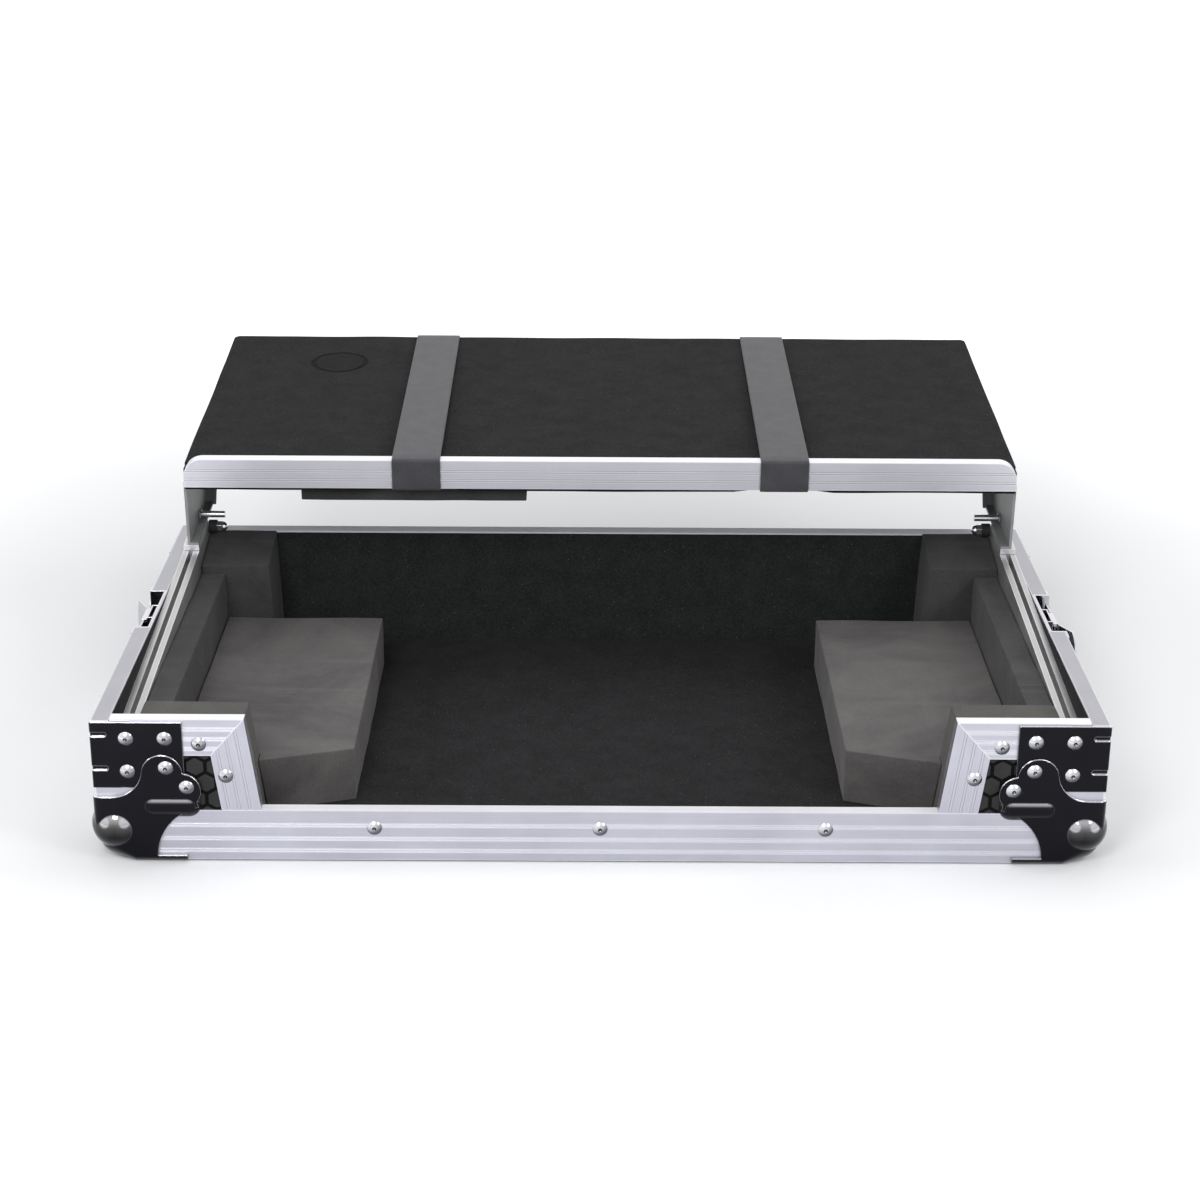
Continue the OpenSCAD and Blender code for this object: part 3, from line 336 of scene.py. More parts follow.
def placeGroup(tree, group, **inputs):
    return addNode(tree, "ShaderNodeGroup", {"node_tree": groups[group]}, **inputs).outputs


def blendColour(tree, mask, dark, light, share=None):
    if share is not None:
        mask = calc(tree, "MULTIPLY", mask, share)
    mix = addNode(tree, "ShaderNodeMix", {"data_type": "RGBA"}, i0=mask)
    for socket, colour in ((mix.inputs[6], dark), (mix.inputs[7], light)):
        if isinstance(colour, bpy.types.NodeSocket):
            tree.links.new(colour, socket)
        else:
            socket.default_value = (*colour, 1)
    return mix.outputs[2]


def scaled(colour, share):
    return [channel * share for channel in colour]


def weighed(tree, first, share, second, otherShare):
    return calc(tree, "MULTIPLY_ADD", first, share, calc(tree, "MULTIPLY", second, otherShare))


def bump(tree, shader, height, distance, strength, normal=None):
    lift = {"Height": height, "Strength": strength, "Distance": distance}
    if normal:
        lift["Normal"] = normal
    node = addNode(tree, "ShaderNodeBump", None, **lift)
    feed(tree, shader, {"Normal": node.outputs[0]})


def makeAluminium(name, stretch, dark, light, rough=(0.34, 0.46), turn=0.0, seed=0.0,
                  ribHighlight=(0.93, 0.93, 0.98), lipHighlight=None, metallic=1.0, grooveShade=0.3):
    material, tree, shader, place = newMaterial(name)
    if turn:
        turned = addNode(tree, "ShaderNodeMapping", None, Vector=place, Rotation=(0, turn, 0))
        place = turned.outputs[0]
    grain = placeGroup(tree, "grain", Vector=place, Stretch=stretch, Seed=seed)
    tone = weighed(tree, grain["Smudge"], 0.55, grain["Lines"], 0.45)
    colour = blendColour(tree, ramp(tree, tone, 0.3, 0.7), dark, light)
    colour = blendColour(tree, grain["Scratch"], colour, (0.5, 0.5, 0.54), 0.35)
    edges = placeGroup(tree, "edges", Radius=0.0004, Gain=5.0)
    # Painted shade in grooves and joints, then a painted highlight on thin ribs
    colour = blendColour(tree, edges["Groove"], colour, (0.16, 0.16, 0.18), grooveShade)
    colour = blendColour(tree, edges["Rib"], colour, ribHighlight, 0.8)
    if lipHighlight:
        # Painted highlight on lips that face up
        colour = blendColour(tree, placeGroup(tree, "studio", Radius=0.0006)["Crest"], colour, lipHighlight)
    roughness = ramp(tree, tone, 0.3, 0.7, *rough)
    feed(tree, shader, {"Base Color": colour, "Metallic": metallic, "Roughness": roughness})
    bump(tree, shader, grain["Lines"], 0.00004, 0.5)
    return material


def paintBallHighlights(tree, place, studio, colour, up, glint, balls):
    # Painted reflection on each ball: two painted highlight spots side by side, in a painted glow
    # that fades to its dark rim
    towards = balls["towards"]
    mirrored = vectorCalc(tree, "ABSOLUTE", vectorCalc(tree, "SUBTRACT", place, balls["middle"]))
    reach = vectorCalc(tree, "DISTANCE", mirrored, balls["centre"])
    near = ramp(tree, reach, balls["radius"] + balls["outside"], balls["radius"] - balls["inside"])
    height = split(tree, place)[2]
    middle = balls["centre"][2]
    above = ramp(tree, height, middle - balls["below"], middle + balls["above"])
    spread = vectorCalc(tree, "ABSOLUTE", studio["Normal"])
    sideways = vectorCalc(tree, "DOT_PRODUCT", spread, (towards.x, towards.y, 0))
    lit = calc(tree, "MULTIPLY_ADD", split(tree, studio["Normal"])[2], towards.z, sideways)
    ball = blendColour(tree, ramp(tree, lit, *balls["glow"]), balls["shade"], balls["tone"])
    ball = blendColour(tree, ramp(tree, lit, *balls["spot"]), ball, glint)
    flat = calc(tree, "MULTIPLY", up, calc(tree, "SUBTRACT", 1.0, near))
    up = calc(tree, "MULTIPLY_ADD", studio["Crest"], near, flat)
    # The painted highlight is left off low down, so the leaf under the floor stays dark as painted
    # shade
    up = calc(tree, "MULTIPLY", up, ramp(tree, height, *balls["leafTop"]))
    return blendColour(tree, calc(tree, "MULTIPLY", near, above), colour, ball), up


def makeChrome(name, base, rough, smudge, coat, glint=(0.8, 0.8, 0.84), radius=0.0005,
               balls=None, under=0.5):
    # Plating with painted highlights on its edges and up-facing parts and painted shade in grooves
    # and on down-facing parts; the corners' plating is near black face on
    material, tree, shader, place = newMaterial(name)
    grain = placeGroup(tree, "grain", Vector=place, Stretch=(60, 60, 60), Seed=3.0)
    colour = blendColour(tree, ramp(tree, grain["Smudge"], 0.35, 0.7), base, scaled(base, 1.35))
    studio = placeGroup(tree, "studio", Radius=radius)
    up = studio["Up"]
    if balls:
        colour, up = paintBallHighlights(tree, place, studio, colour, up, glint, balls)
    edges = placeGroup(tree, "edges", Radius=radius * 0.5, Gain=3.0)
    # Painted shade in grooves, painted highlight on edges, painted shade facing down, painted
    # highlight facing up
    colour = blendColour(tree, edges["Groove"], colour, scaled(base, 0.2), 0.85)
    colour = blendColour(tree, edges["Mask"], colour, glint, 0.45)
    colour = blendColour(tree, studio["Down"], colour, scaled(glint, 0.18), under)
    colour = blendColour(tree, up, colour, glint)
    roughness = calc(tree, "MULTIPLY_ADD", ramp(tree, grain["Smudge"], 0.4, 0.75), smudge, rough)
    feed(tree, shader, {
        "Base Color": colour, "Metallic": 1, "Roughness": roughness,
        "Coat Weight": coat, "Coat Roughness": 0.04,
    })
    bump(tree, shader, grain["Lines"], 0.00002, 0.2, studio["Normal"])
    return material


def makeRivet(name, dark, light):
    # Domed heads: painted highlight towards the key light, painted shade away from it, and painted
    # shade in hollows such as the pit in the middle
    material, tree, shader, place = newMaterial(name)
    grain = placeGroup(tree, "grain", Vector=place, Stretch=(90, 90, 90), Seed=6.0)
    studio = placeGroup(tree, "studio", Radius=0.0003)
    edges = placeGroup(tree, "edges", Radius=0.0003, Gain=2.0, Depth=0.0012)
    colour = blendColour(tree, studio["Key"], dark, light)
    colour = blendColour(tree, ramp(tree, grain["Smudge"], 0.45, 0.7), colour, dark, 0.25)
    colour = blendColour(tree, edges["Groove"], colour, (0.02, 0.02, 0.025))
    roughness = calc(tree, "MULTIPLY_ADD", grain["Smudge"], 0.15, 0.14)
    feed(tree, shader, {"Base Color": colour, "Metallic": 1, "Roughness": roughness})
    bump(tree, shader, grain["Lines"], 0.00002, 0.2)
    return material


def makePile(name, dark, light, speck, specks, height, press=None):
    material, tree, shader, place = newMaterial(name)
    fuzz = placeGroup(tree, "fuzz", Vector=place, Specks=specks)
    tone = weighed(tree, fuzz["Height"], 0.75, fuzz["Lumps"], 0.25)
    colour = blendColour(tree, ramp(tree, tone, 0.4, 0.62), dark, light)
    colour = blendColour(tree, fuzz["Speck"], colour, speck)
    raised = fuzz["Height"]
    if press:
        # A plain round mark pressed into the pile
        radius, line = press["radius"], press["line"]
        reach = vectorCalc(tree, "DISTANCE", place, press["centre"])
        off = calc(tree, "ABSOLUTE", calc(tree, "SUBTRACT", reach, radius))
        ring = ramp(tree, off, line, line * 0.3)
        disc = ramp(tree, reach, radius, radius - line)
        colour = blendColour(tree, disc, colour, scaled(dark, 0.8), 0.45)
        colour = blendColour(tree, ring, colour, scaled(dark, 0.2), 0.85)
        raised = calc(tree, "MULTIPLY_ADD", ring, -3.0, raised)
    feed(tree, shader, {
        "Base Color": colour, "Roughness": 1, "Specular IOR Level": 0.1,
        "Sheen Weight": 0.03, "Sheen Roughness": 0.6,
    })
    bump(tree, shader, raised, height, 0.9)
    return material


def makeFoam(name, dark, light, rub):
    material, tree, shader, place = newMaterial(name)
    pores = placeGroup(tree, "pores", Vector=place)
    colour = blendColour(tree, ramp(tree, pores["Rubbed"], 0.32, 0.72), dark, light)
    colour = blendColour(tree, pores["Streak"], colour, rub, 0.2)
    colour = blendColour(tree, ramp(tree, pores["Pit"], 0.54, 0.72), colour, scaled(dark, 0.5), 0.4)
    feed(tree, shader, {
        "Base Color": colour, "Roughness": 0.92, "Specular IOR Level": 0.25, "Sheen Weight": 0.08,
    })
    height = calc(tree, "MULTIPLY_ADD", pores["Pit"], 0.7, pores["Height"])
    bump(tree, shader, height, 0.00025, 0.7)
    return material


def makeWebbing(name, dark, light):
    # UV: x across the strap and y along it, both in metres
    yarn = {"warp": 0.0011, "weft": 0.0016}
    material, tree, shader, _ = newMaterial(name)
    uv = addNode(tree, "ShaderNodeUVMap", {"uv_map": "weave"}).outputs[0]
    across, ahead = split(tree, uv)[:2]
    warp = calc(tree, "MULTIPLY", across, 2 * math.pi / yarn["warp"])
    weft = calc(tree, "MULTIPLY", ahead, 2 * math.pi / yarn["weft"])
    slant = calc(tree, "SINE", calc(tree, "ADD", weft, calc(tree, "MULTIPLY", warp, 0.5)))
    cord = calc(tree, "MULTIPLY_ADD", calc(tree, "SINE", warp), 0.35, 0.5)
    weave = calc(tree, "MULTIPLY_ADD", slant, 0.35, cord)
    wear = addNoise(tree, uv, 70.0, 4.0)
    fine = addNoise(tree, uv, 2200.0)
    tone = calc(tree, "MULTIPLY_ADD", weave, 0.35, weighed(tree, wear, 0.45, fine, 0.2))
    feed(tree, shader, {
        "Base Color": blendColour(tree, ramp(tree, tone, 0.3, 0.75), dark, light),
        "Roughness": 0.8, "Sheen Weight": 0.35, "Sheen Roughness": 0.4,
    })
    bump(tree, shader, calc(tree, "MULTIPLY_ADD", fine, 0.3, weave), 0.00018, 0.6)
    return material


def makePaint(name, dark, light, rough, metallic=0.0, size=900.0, lift=0.00006, specular=0.5):
    # Sprayed or moulded surface with fine orange peel
    material, tree, shader, place = newMaterial(name)
    peel = addNoise(tree, place, size)
    wear = addNoise(tree, place, 38.0, 6.0, Roughness=0.7)
    feed(tree, shader, {
        "Base Color": blendColour(tree, ramp(tree, wear, 0.35, 0.7), dark, light),
        "Metallic": metallic, "Specular IOR Level": specular,
        "Roughness": calc(tree, "MULTIPLY_ADD", wear, 0.2, rough - 0.1),
    })
    bump(tree, shader, peel, lift, 0.6)
    return material


def makePlywood(name, dark, light, ply):
    # Thin plies seen on the cut edges, grain along x
    material, tree, shader, place = newMaterial(name)
    plies = calc(tree, "SINE", calc(tree, "MULTIPLY", split(tree, place)[2], 2 * math.pi / ply))
    grain = placeGroup(tree, "grain", Vector=place, Stretch=(8, 120, 120), Seed=5.0)
    tone = calc(tree, "MULTIPLY_ADD", plies, 0.18, grain["Lines"])
    colour = blendColour(tree, ramp(tree, tone, 0.25, 0.8), dark, light)
    feed(tree, shader, {"Base Color": colour, "Roughness": 0.75})
    bump(tree, shader, grain["Lines"], 0.0001, 0.5)
    return material


def grey(value):
    return (value, value, value)


along = {"x": (3, 380, 380), "y": (380, 3, 380), "z": (380, 380, 3)}
lean = math.radians(7.7)
# Painted reflection on the corner balls: lit tone, shade, glow and highlight spots
cornerBalls = {
    "middle": (0, trayOrigin.y + 0.1825, 0), "centre": (0.309, 0.1715, 0.0227), "radius": 0.01715,
    "outside": 0.0004, "inside": 0.0006, "below": 0.010, "above": 0.006, "leafTop": (0.003, 0.006),
    "tone": (0.17, 0.17, 0.158), "shade": (0.012, 0.012, 0.011),
    "glow": (0.72, 0.97), "spot": (0.972, 0.986),
    "towards": Vector((0.38, 0.86, 0.34)).normalized(),
}
trimTone = {"dark": (0.47, 0.47, 0.53), "light": (0.60, 0.60, 0.67)}
# Painted highlight colour for lips that face up
paintedLipHighlight = (0.95, 0.95, 0.98)
# Painted highlight colour for the ribs of the posts
postRibHighlight = (0.62, 0.62, 0.69)
pressedMark = {"centre": toShelf @ Vector((-0.210, 0.509, 0.0719)), "radius": 0.021, "line": 0.0026}
finishes = {
    "trimX": makeAluminium("trimAlongFront", along["x"], **trimTone, lipHighlight=paintedLipHighlight),
    # Brighter copy of the trim aluminium for the back rim under the shelf: painted light
    "backRimLitCopy": makeAluminium(
        "trimBackRimLitCopy", along["x"], (0.86, 0.86, 0.93), (0.95, 0.95, 1.0), seed=8.0, metallic=0.0),
    "trimY": makeAluminium(
        "trimAlongSide", along["y"], (0.42, 0.42, 0.45), (0.52, 0.52, 0.56), seed=1.0),
    # Brighter copy of the trim aluminium for the shelf trim, with strong painted rib highlights and
    # painted groove shade
    "shelfTrimLitCopy": makeAluminium(
        "trimShelfLitCopy", along["x"], (0.70, 0.70, 0.77), (0.77, 0.77, 0.84), seed=7.0,
        ribHighlight=grey(1.0), grooveShade=0.8, lipHighlight=paintedLipHighlight, metallic=0.5),
    "trimZ": makeAluminium("trimUpright", along["z"], **trimTone, seed=2.0),
    "postLeft": makeAluminium(
        "trimPostLeft", along["z"], **trimTone, turn=lean, seed=3.0, ribHighlight=postRibHighlight),
    "postRight": makeAluminium(
        "trimPostRight", along["z"], **trimTone, turn=-lean, seed=4.0, ribHighlight=postRibHighlight),
    "track": makeAluminium(
        "trackExtrusion", along["y"], grey(0.50), (0.64, 0.64, 0.63), (0.36, 0.5), seed=5.0),
    # Near-black corner plating is a painted dark reflection of the room, with painted highlights
    "corner": makeChrome(
        "chromePaintedDarkReflection", (0.006, 0.006, 0.009), 0.05, 0.06, 0.2, radius=0.0015, balls=cornerBalls),
    "latch": makeChrome("latchPlating", (0.42, 0.42, 0.45), 0.12, 0.12, 0.3, under=0.0),
    "rivet": makeRivet("rivetHead", (0.16, 0.16, 0.18), (0.80, 0.80, 0.84)),
    "pin": makeRivet("rivetPin", (0.10, 0.10, 0.11), (0.42, 0.42, 0.44)),
    "bolt": makeChrome("zincBolt", (0.66, 0.66, 0.69), 0.2, 0.12, 0.2, under=0.2),
    "hook": makeAluminium(
        "drawnSteelHook", along["z"], (0.32, 0.32, 0.33), (0.44, 0.44, 0.45), (0.35, 0.5)),
    "shoe": makeAluminium(
        "shoePlate", along["y"], (0.6, 0.6, 0.62), (0.75, 0.75, 0.77), (0.35, 0.5)),
    "lining": makePile(
        "trayLining", (0.010, 0.010, 0.0105), (0.031, 0.031, 0.033), (0.18, 0.18, 0.19), 0.6,
        0.0006),
    # Brighter copy of the lining for the back wall under the shelf: painted light
    "wallLiningLitCopy": makePile(
        "wallLiningLitCopy", (0.016, 0.0175, 0.0175), (0.042, 0.044, 0.044), (0.2, 0.2, 0.21), 0.5,
        0.0006),
    "carpet": makePile(
        "shelfCarpet", grey(0.010), (0.030, 0.0295, 0.029), grey(0.17), 0.25, 0.0006, pressedMark),
    "foam": makeFoam(
        "cutFoam", (0.086, 0.080, 0.083), (0.172, 0.160, 0.152), (0.215, 0.205, 0.195)),
    "shadeFoam": makeFoam(
        "cutFoamShade", (0.038, 0.037, 0.038), (0.078, 0.076, 0.078), (0.13, 0.128, 0.128)),
    "frontFoam": makeFoam(
        "cutFoamFront", (0.072, 0.070, 0.064), (0.118, 0.114, 0.104), (0.17, 0.163, 0.151)),
    "stripFoam": makeFoam("cutFoamStrip", (0.034, 0.034, 0.033), (0.075, 0.073, 0.072), grey(0.16)),
    "webbing": makeWebbing("wovenWebbing", (0.038, 0.038, 0.043), (0.092, 0.092, 0.101)),
    "leg": makePaint("legPaint", (0.26, 0.264, 0.262), (0.36, 0.365, 0.36), 0.45, 0.2),
    "laminate": makePaint("laminateBase", grey(0.004), grey(0.008), 0.7, specular=0.06),
    "hex": makePaint(
        "laminateHexagon", (0.016, 0.015, 0.015), (0.030, 0.028, 0.028), 0.42,
        size=1500.0, lift=0.0001, specular=0.3),
    "rubber": makePaint("ringRubber", grey(0.012), grey(0.03), 0.75),
    "plastic": makePaint("stopPlastic", grey(0.018), grey(0.035), 0.6),
    "plywood": makePlywood("shelfPlywood", (0.22, 0.15, 0.09), (0.46, 0.35, 0.22), 0.003),
}

dressed = {
    "trimX": ["sill_trim", "base_trim_back", "post_top_left", "post_top_right"],
    "backRimLitCopy": ["rim_back"],
    "shelfTrimLitCopy": ["shelf_trim"],
    "trimY": ["base_trim_sides", "rim_left", "rim_right"],
    "trimZ": ["corner_angles"],
    "postLeft": ["post_side_left"],
    "postRight": ["post_side_right"],
    "track": ["track_left", "track_right"],
    "corner": ["corner_brackets", "ball_corner_fl", "ball_corner_fr", "ball_corner_bl",
               "ball_corner_br"],
    "latch": ["latch_dish_left", "latch_dish_right", "latch_key_left", "latch_key_right",
              "wing_open_left", "wing_open_right", "wing_flat_left", "wing_flat_right"],
    "hook": ["latch_hook_left", "latch_hook_right"],
    "rivet": ["rivets"],
    "bolt": ["stop_studs", "leg_bolts", "leg_screws"],
    "shoe": ["glide_shoes"],
    "leg": ["leg_left", "leg_right"],
    "laminate": ["floor_panel", "wall_front", "wall_back", "wall_left", "wall_right"],
    "rubber": ["stop_rings"],
    "plastic": ["track_stops"],
    "plywood": ["shelf_board"],
}
for finish, names in dressed.items():
    for name in names:
        slots = nodes[name].data.materials
        for index in range(len(slots)):
            slots[index] = finishes[finish]
print("finishes are on the metal, laminate and rubber")


# Meshes
def linkMesh(name, bm, material):
    mesh = bpy.data.meshes.new(name)
    bm.to_mesh(mesh)
    bm.free()
    piece = bpy.data.objects.new(name, mesh)
    bpy.context.scene.collection.objects.link(piece)
    mesh.materials.append(material)
    return piece


def weighNormals(mesh):
    # Big faces hold the normals, so flats stay flat beside their rounded edges
    sums = [Vector() for _ in mesh.vertices]
    for face in mesh.polygons:
        push = face.normal * face.area
        for index in face.vertices:
            sums[index] += push
    mesh.shade_smooth()
    mesh.normals_split_custom_set_from_vertices(
        [total.normalized() if total.length > 0 else Vector((0, 0, 1)) for total in sums])


def cutAcross(bm, place, step):
    # Cuts every face on a grid that lies square in the given frame
    inverse = place.inverted()
    spots = [inverse @ vertex.co for vertex in bm.verts]
    turn = place.to_3x3()
    for axis in range(3):
        low = min(spot[axis] for spot in spots)
        high = max(spot[axis] for spot in spots)
        count = int((high - low) / step)
        direction = Vector([1.0 if i == axis else 0.0 for i in range(3)])
        for index in range(1, count):
            cut = direction * (low + (high - low) * index / count)
            bmesh.ops.bisect_plane(
                bm, geom=bm.verts[:] + bm.edges[:] + bm.faces[:], dist=1e-7,
                plane_co=place @ cut, plane_no=turn @ direction,
            )


def addWaves(bm, settings):
    # Slow waves push the surface out and in
    size, seed = settings["waveSize"], settings.get("seed", 0)
    shift = Vector((seed * 7.3, seed * 3.1, 0))
    for vertex in bm.verts:
        height = noise.noise(vertex.co / size + shift, noise_basis="PERLIN_ORIGINAL")
        vertex.co += vertex.normal * settings["wave"] * height


def lowerHem(bm, place, hem):
    # The lower front edge hangs out a little under the trim, less where the straps hold it up
    inverse = place.inverted()
    down = place.to_3x3() @ Vector((0, 0, -1))
    for vertex in bm.verts:
        spot = inverse @ vertex.co
        if spot.y < hem["behind"] and spot.z < hem["under"]:
            held = abs(abs(spot.x) - hem["strapsAt"]) < hem["strapReach"]
            vertex.co += down * (hem["heldDrop"] if held else hem["drop"])


def softCopy(settings):
    # Rounded, slightly uneven piece over the solids of the named nodes
    place = settings.get("frame", toTray)
    bm = bmesh.new()
    for name in settings["nodes"]:
        bm.from_mesh(nodes[name].data)
    bmesh.ops.remove_doubles(bm, verts=bm.verts[:], dist=1e-6)
    flush, bend = math.radians(0.5), math.radians(20)
    bmesh.ops.dissolve_limit(bm, angle_limit=flush, verts=bm.verts[:], edges=bm.edges[:])
    sharp = [e for e in bm.edges if len(e.link_faces) == 2 and e.calc_face_angle(0) > bend]
    bmesh.ops.bevel(
        bm, geom=sharp, offset=settings["edge"], offset_type="OFFSET",
        segments=settings.get("segments", 3), profile=0.5, affect="EDGES", clamp_overlap=True,
    )
    cutAcross(bm, place, settings["step"])
    bm.normal_update()
    addWaves(bm, settings)
    if "hem" in settings:
        lowerHem(bm, place, settings["hem"])
    piece = linkMesh(settings["name"], bm, finishes[settings["finish"]])
    weighNormals(piece.data)
    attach(piece, settings["body"])
    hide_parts(*settings["nodes"])
    return piece


# Foam blocks, cut from sheet
cutFoam = {"edge": 0.0008, "step": 0.009, "slot": "foam"}
padFinishes = {"side": "shadeFoam", "front": "frontFoam", "low": "foam", "rear": "shadeFoam"}
foamBlocks = [
    {
        "name": f"{pad}Foam{side.capitalize()}", "nodes": [f"{pad}_pad_{side}"], "finish": finish,
        "wave": 0.00055, "waveSize": 0.035, "seed": firstSeed + 2 * index, "body": "base",
    }
    for side, firstSeed in (("left", 1), ("right", 2))
    for index, (pad, finish) in enumerate(padFinishes.items())
]
foamBlocks.append({
    "name": "shelfFoamStrip", "nodes": ["shelf_strip"], "finish": "stripFoam", "frame": toShelf,
    "wave": 0.0004, "waveSize": 0.03, "seed": 9, "body": "shelf",
})
for settings in foamBlocks:
    softCopy({**cutFoam, **settings})
print("foam blocks:", len(foamBlocks))

# Carpet, glued to the floor, the walls and the shelf
gluedCarpet = {
    "edge": 0.0004, "segments": 2, "step": 0.011, "wave": 0.0003, "waveSize": 0.03,
    "body": "base", "slot": "lining",
}
carpets = [
    {"name": "floorLining", "nodes": ["lining_floor"], "finish": "lining",
     "flat": (0.6195, 0.345), "rests": ["floor_panel"]},
    {"name": "backLining", "nodes": ["lining_back"], "finish": "wallLiningLitCopy",
     "flat": (0.6195, 0.0875), "rests": ["wall_back"]},
    {"name": "sideLinings", "nodes": ["lining_sides"], "finish": "lining",
     "flat": (0.345, 0.1725), "rests": ["wall_left", "wall_right"]},
]
for settings in carpets:
    piece = softCopy({**gluedCarpet, **settings})
    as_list(settings["rests"])
shelfCover = {
    "name": "shelfCover", "nodes": ["shelf_carpet"], "finish": "carpet", "frame": toShelf,
    "edge": 0.0009, "step": 0.012, "wave": 0.0005, "waveSize": 0.05, "seed": 4,
    "body": "shelf", "slot": "carpet",
    "hem": {
        "behind": 0.2935, "under": 0.0575, "drop": 0.0027,
        "heldDrop": 0.0012, "strapsAt": 0.1338, "strapReach": 0.03,
    },
}
softCopy(shelfCover)
print("linings and shelf cover are laid")


# Straps round the shelf; the section is half of one face, as shares of half the width and thickness
strap = {
    "width": 0.035, "thick": 0.0015, "round": 0.0016, "offset": 0.1338,
    "turnSteps": 6, "step": 0.006,
    "path": [(0.2885, 0.055), (0.2885, 0.0767), (0.2975, 0.0767), (0.572, 0.071), (0.572, 0.055)],
    "section": [(0, 1), (0.3, 1), (0.6, 1), (0.8, 1), (0.88, 0.88), (0.94, 1), (0.985, 0.8),
                (1, 0.35)],
}


def strapTurns(settings):
    # Middle of the strap's thickness round each corner of the path, as (place, outward)
    corners = [Vector(corner) for corner in settings["path"]]
    normals = []
    for index, corner in enumerate(corners):
        run = (corners[(index + 1) % len(corners)] - corner).normalized()
        normals.append(Vector((-run.y, run.x)))
    line, steps = [], settings["turnSteps"]
    for index, corner in enumerate(corners):
        before, after = normals[index - 1], normals[index]
        outward = (before + after) / (1 + before.dot(after))
        hub = corner + outward * (settings["thick"] / 2 - settings["round"])
        first = math.atan2(before.y, before.x)
        sweep = (math.atan2(after.y, after.x) - first + math.pi) % (2 * math.pi) - math.pi
        for step in range(steps + 1):
            angle = first + sweep * step / steps
            out = Vector((math.cos(angle), math.sin(angle)))
            line.append((hub + out * settings["round"], out))
    return line


def strapCentre(settings):
    # The whole closed line; long runs get points of their own
    line, fine = strapTurns(settings), []
    for index, (place, out) in enumerate(line):
        nextPlace, nextOut = line[(index + 1) % len(line)]
        pieces = max(1, int((nextPlace - place).length / settings["step"]))
        for part in range(pieces):
            share = part / pieces
            fine.append((place.lerp(nextPlace, share), out.lerp(nextOut, share).normalized()))
    return fine


def makeStrap(name, node, middle, settings):
    line = strapCentre(settings)
    half, thick = settings["width"] / 2, settings["thick"] / 2
    profile = [(-share, height) for share, height in reversed(settings["section"][1:])]
    section = [(share * half, height * thick) for share, height in profile + settings["section"]]
    ring = section + [(across, -lift) for across, lift in reversed(section)]
    bm = bmesh.new()
    uvLayer = bm.loops.layers.uv.new("weave")
    rows, lengths, total = [], [], 0.0
    for index, (place, out) in enumerate(line):
        if index:
            total += (place - line[index - 1][0]).length
        lengths.append(total)
        spots = [(middle + across, *(place + out * lift)) for across, lift in ring]
        rows.append([bm.verts.new(toShelf @ Vector(spot)) for spot in spots])
    total += (line[0][0] - line[-1][0]).length
    lengths.append(total)
    for index, row in enumerate(rows):
        nextRow = rows[(index + 1) % len(rows)]
        low, high = lengths[index], lengths[index + 1]
        for k in range(len(ring)):
            m = (k + 1) % len(ring)
            face = bm.faces.new((row[k], row[m], nextRow[m], nextRow[k]))
            face.smooth = True
            for loop, (point, ahead) in zip(face.loops, ((k, low), (m, low), (m, high), (k, high))):
                loop[uvLayer].uv = (ring[point][0], ahead)
    bmesh.ops.recalc_face_normals(bm, faces=bm.faces[:])
    piece = linkMesh(name, bm, finishes["webbing"])
    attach(piece, "shelf")
    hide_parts(node)
    print(name, "loop length", round(total, 4))


makeStrap("strapLeft", "strap_left", -strap["offset"], strap)
makeStrap("strapRight", "strap_right", strap["offset"], strap)


# Geometry Nodes: what repeats
def newTree(name, inputs):
    tree = bpy.data.node_groups.new(name, "GeometryNodeTree")
    tree.interface.new_socket("Geometry", in_out="INPUT", socket_type="NodeSocketGeometry")
    sockets = {}
    for label, kind in inputs:
        socket = tree.interface.new_socket(label, in_out="INPUT", socket_type=kind)
        sockets[label] = socket.identifier
    tree.interface.new_socket("Geometry", in_out="OUTPUT", socket_type="NodeSocketGeometry")
    start, end = tree.nodes.new("NodeGroupInput"), tree.nodes.new("NodeGroupOutput")
    return tree, start.outputs, end, sockets


def makeCone(tree, sides, bottom, top, depth):
    sizes = {"Vertices": sides, "Radius Bottom": bottom, "Radius Top": top, "Depth": depth}
    return addNode(tree, "GeometryNodeMeshCone", {"fill_type": "NGON"}, **sizes).outputs["Mesh"]


def stampOn(tree, end, points, shape, rotation, material):
    # Copies of the shape on the points, made real and painted
    stamp = addNode(tree, "GeometryNodeInstanceOnPoints", None,
                    Points=points, Instance=shape, Rotation=rotation)
    real = addNode(tree, "GeometryNodeRealizeInstances", None, i0=stamp.outputs[0])
    paint = addNode(tree, "GeometryNodeSetMaterial", None, i0=real.outputs[0], Material=material)
    tree.links.new(paint.outputs[0], end.inputs[0])


def runTree(name, tree, sockets, values, mesh, matrix, body):
    # Runs the tree on a helper and keeps the result as a plain mesh
    helper = bpy.data.objects.new(name + "Maker", mesh)
    bpy.context.scene.collection.objects.link(helper)
    modifier = helper.modifiers.new("maker", "NODES")
    modifier.node_group = tree
    for label, value in values.items():
        modifier[sockets[label]] = value
    bpy.context.view_layer.update()
    graph = bpy.context.evaluated_depsgraph_get()
    made = bpy.data.meshes.new_from_object(helper.evaluated_get(graph))
    helper.modifiers.clear()
    bpy.data.objects.remove(helper)
    made.name = name
    made.transform(matrix)
    piece = bpy.data.objects.new(name, made)
    bpy.context.scene.collection.objects.link(piece)
    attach(piece, body)
    print(name, "faces", len(made.polygons))


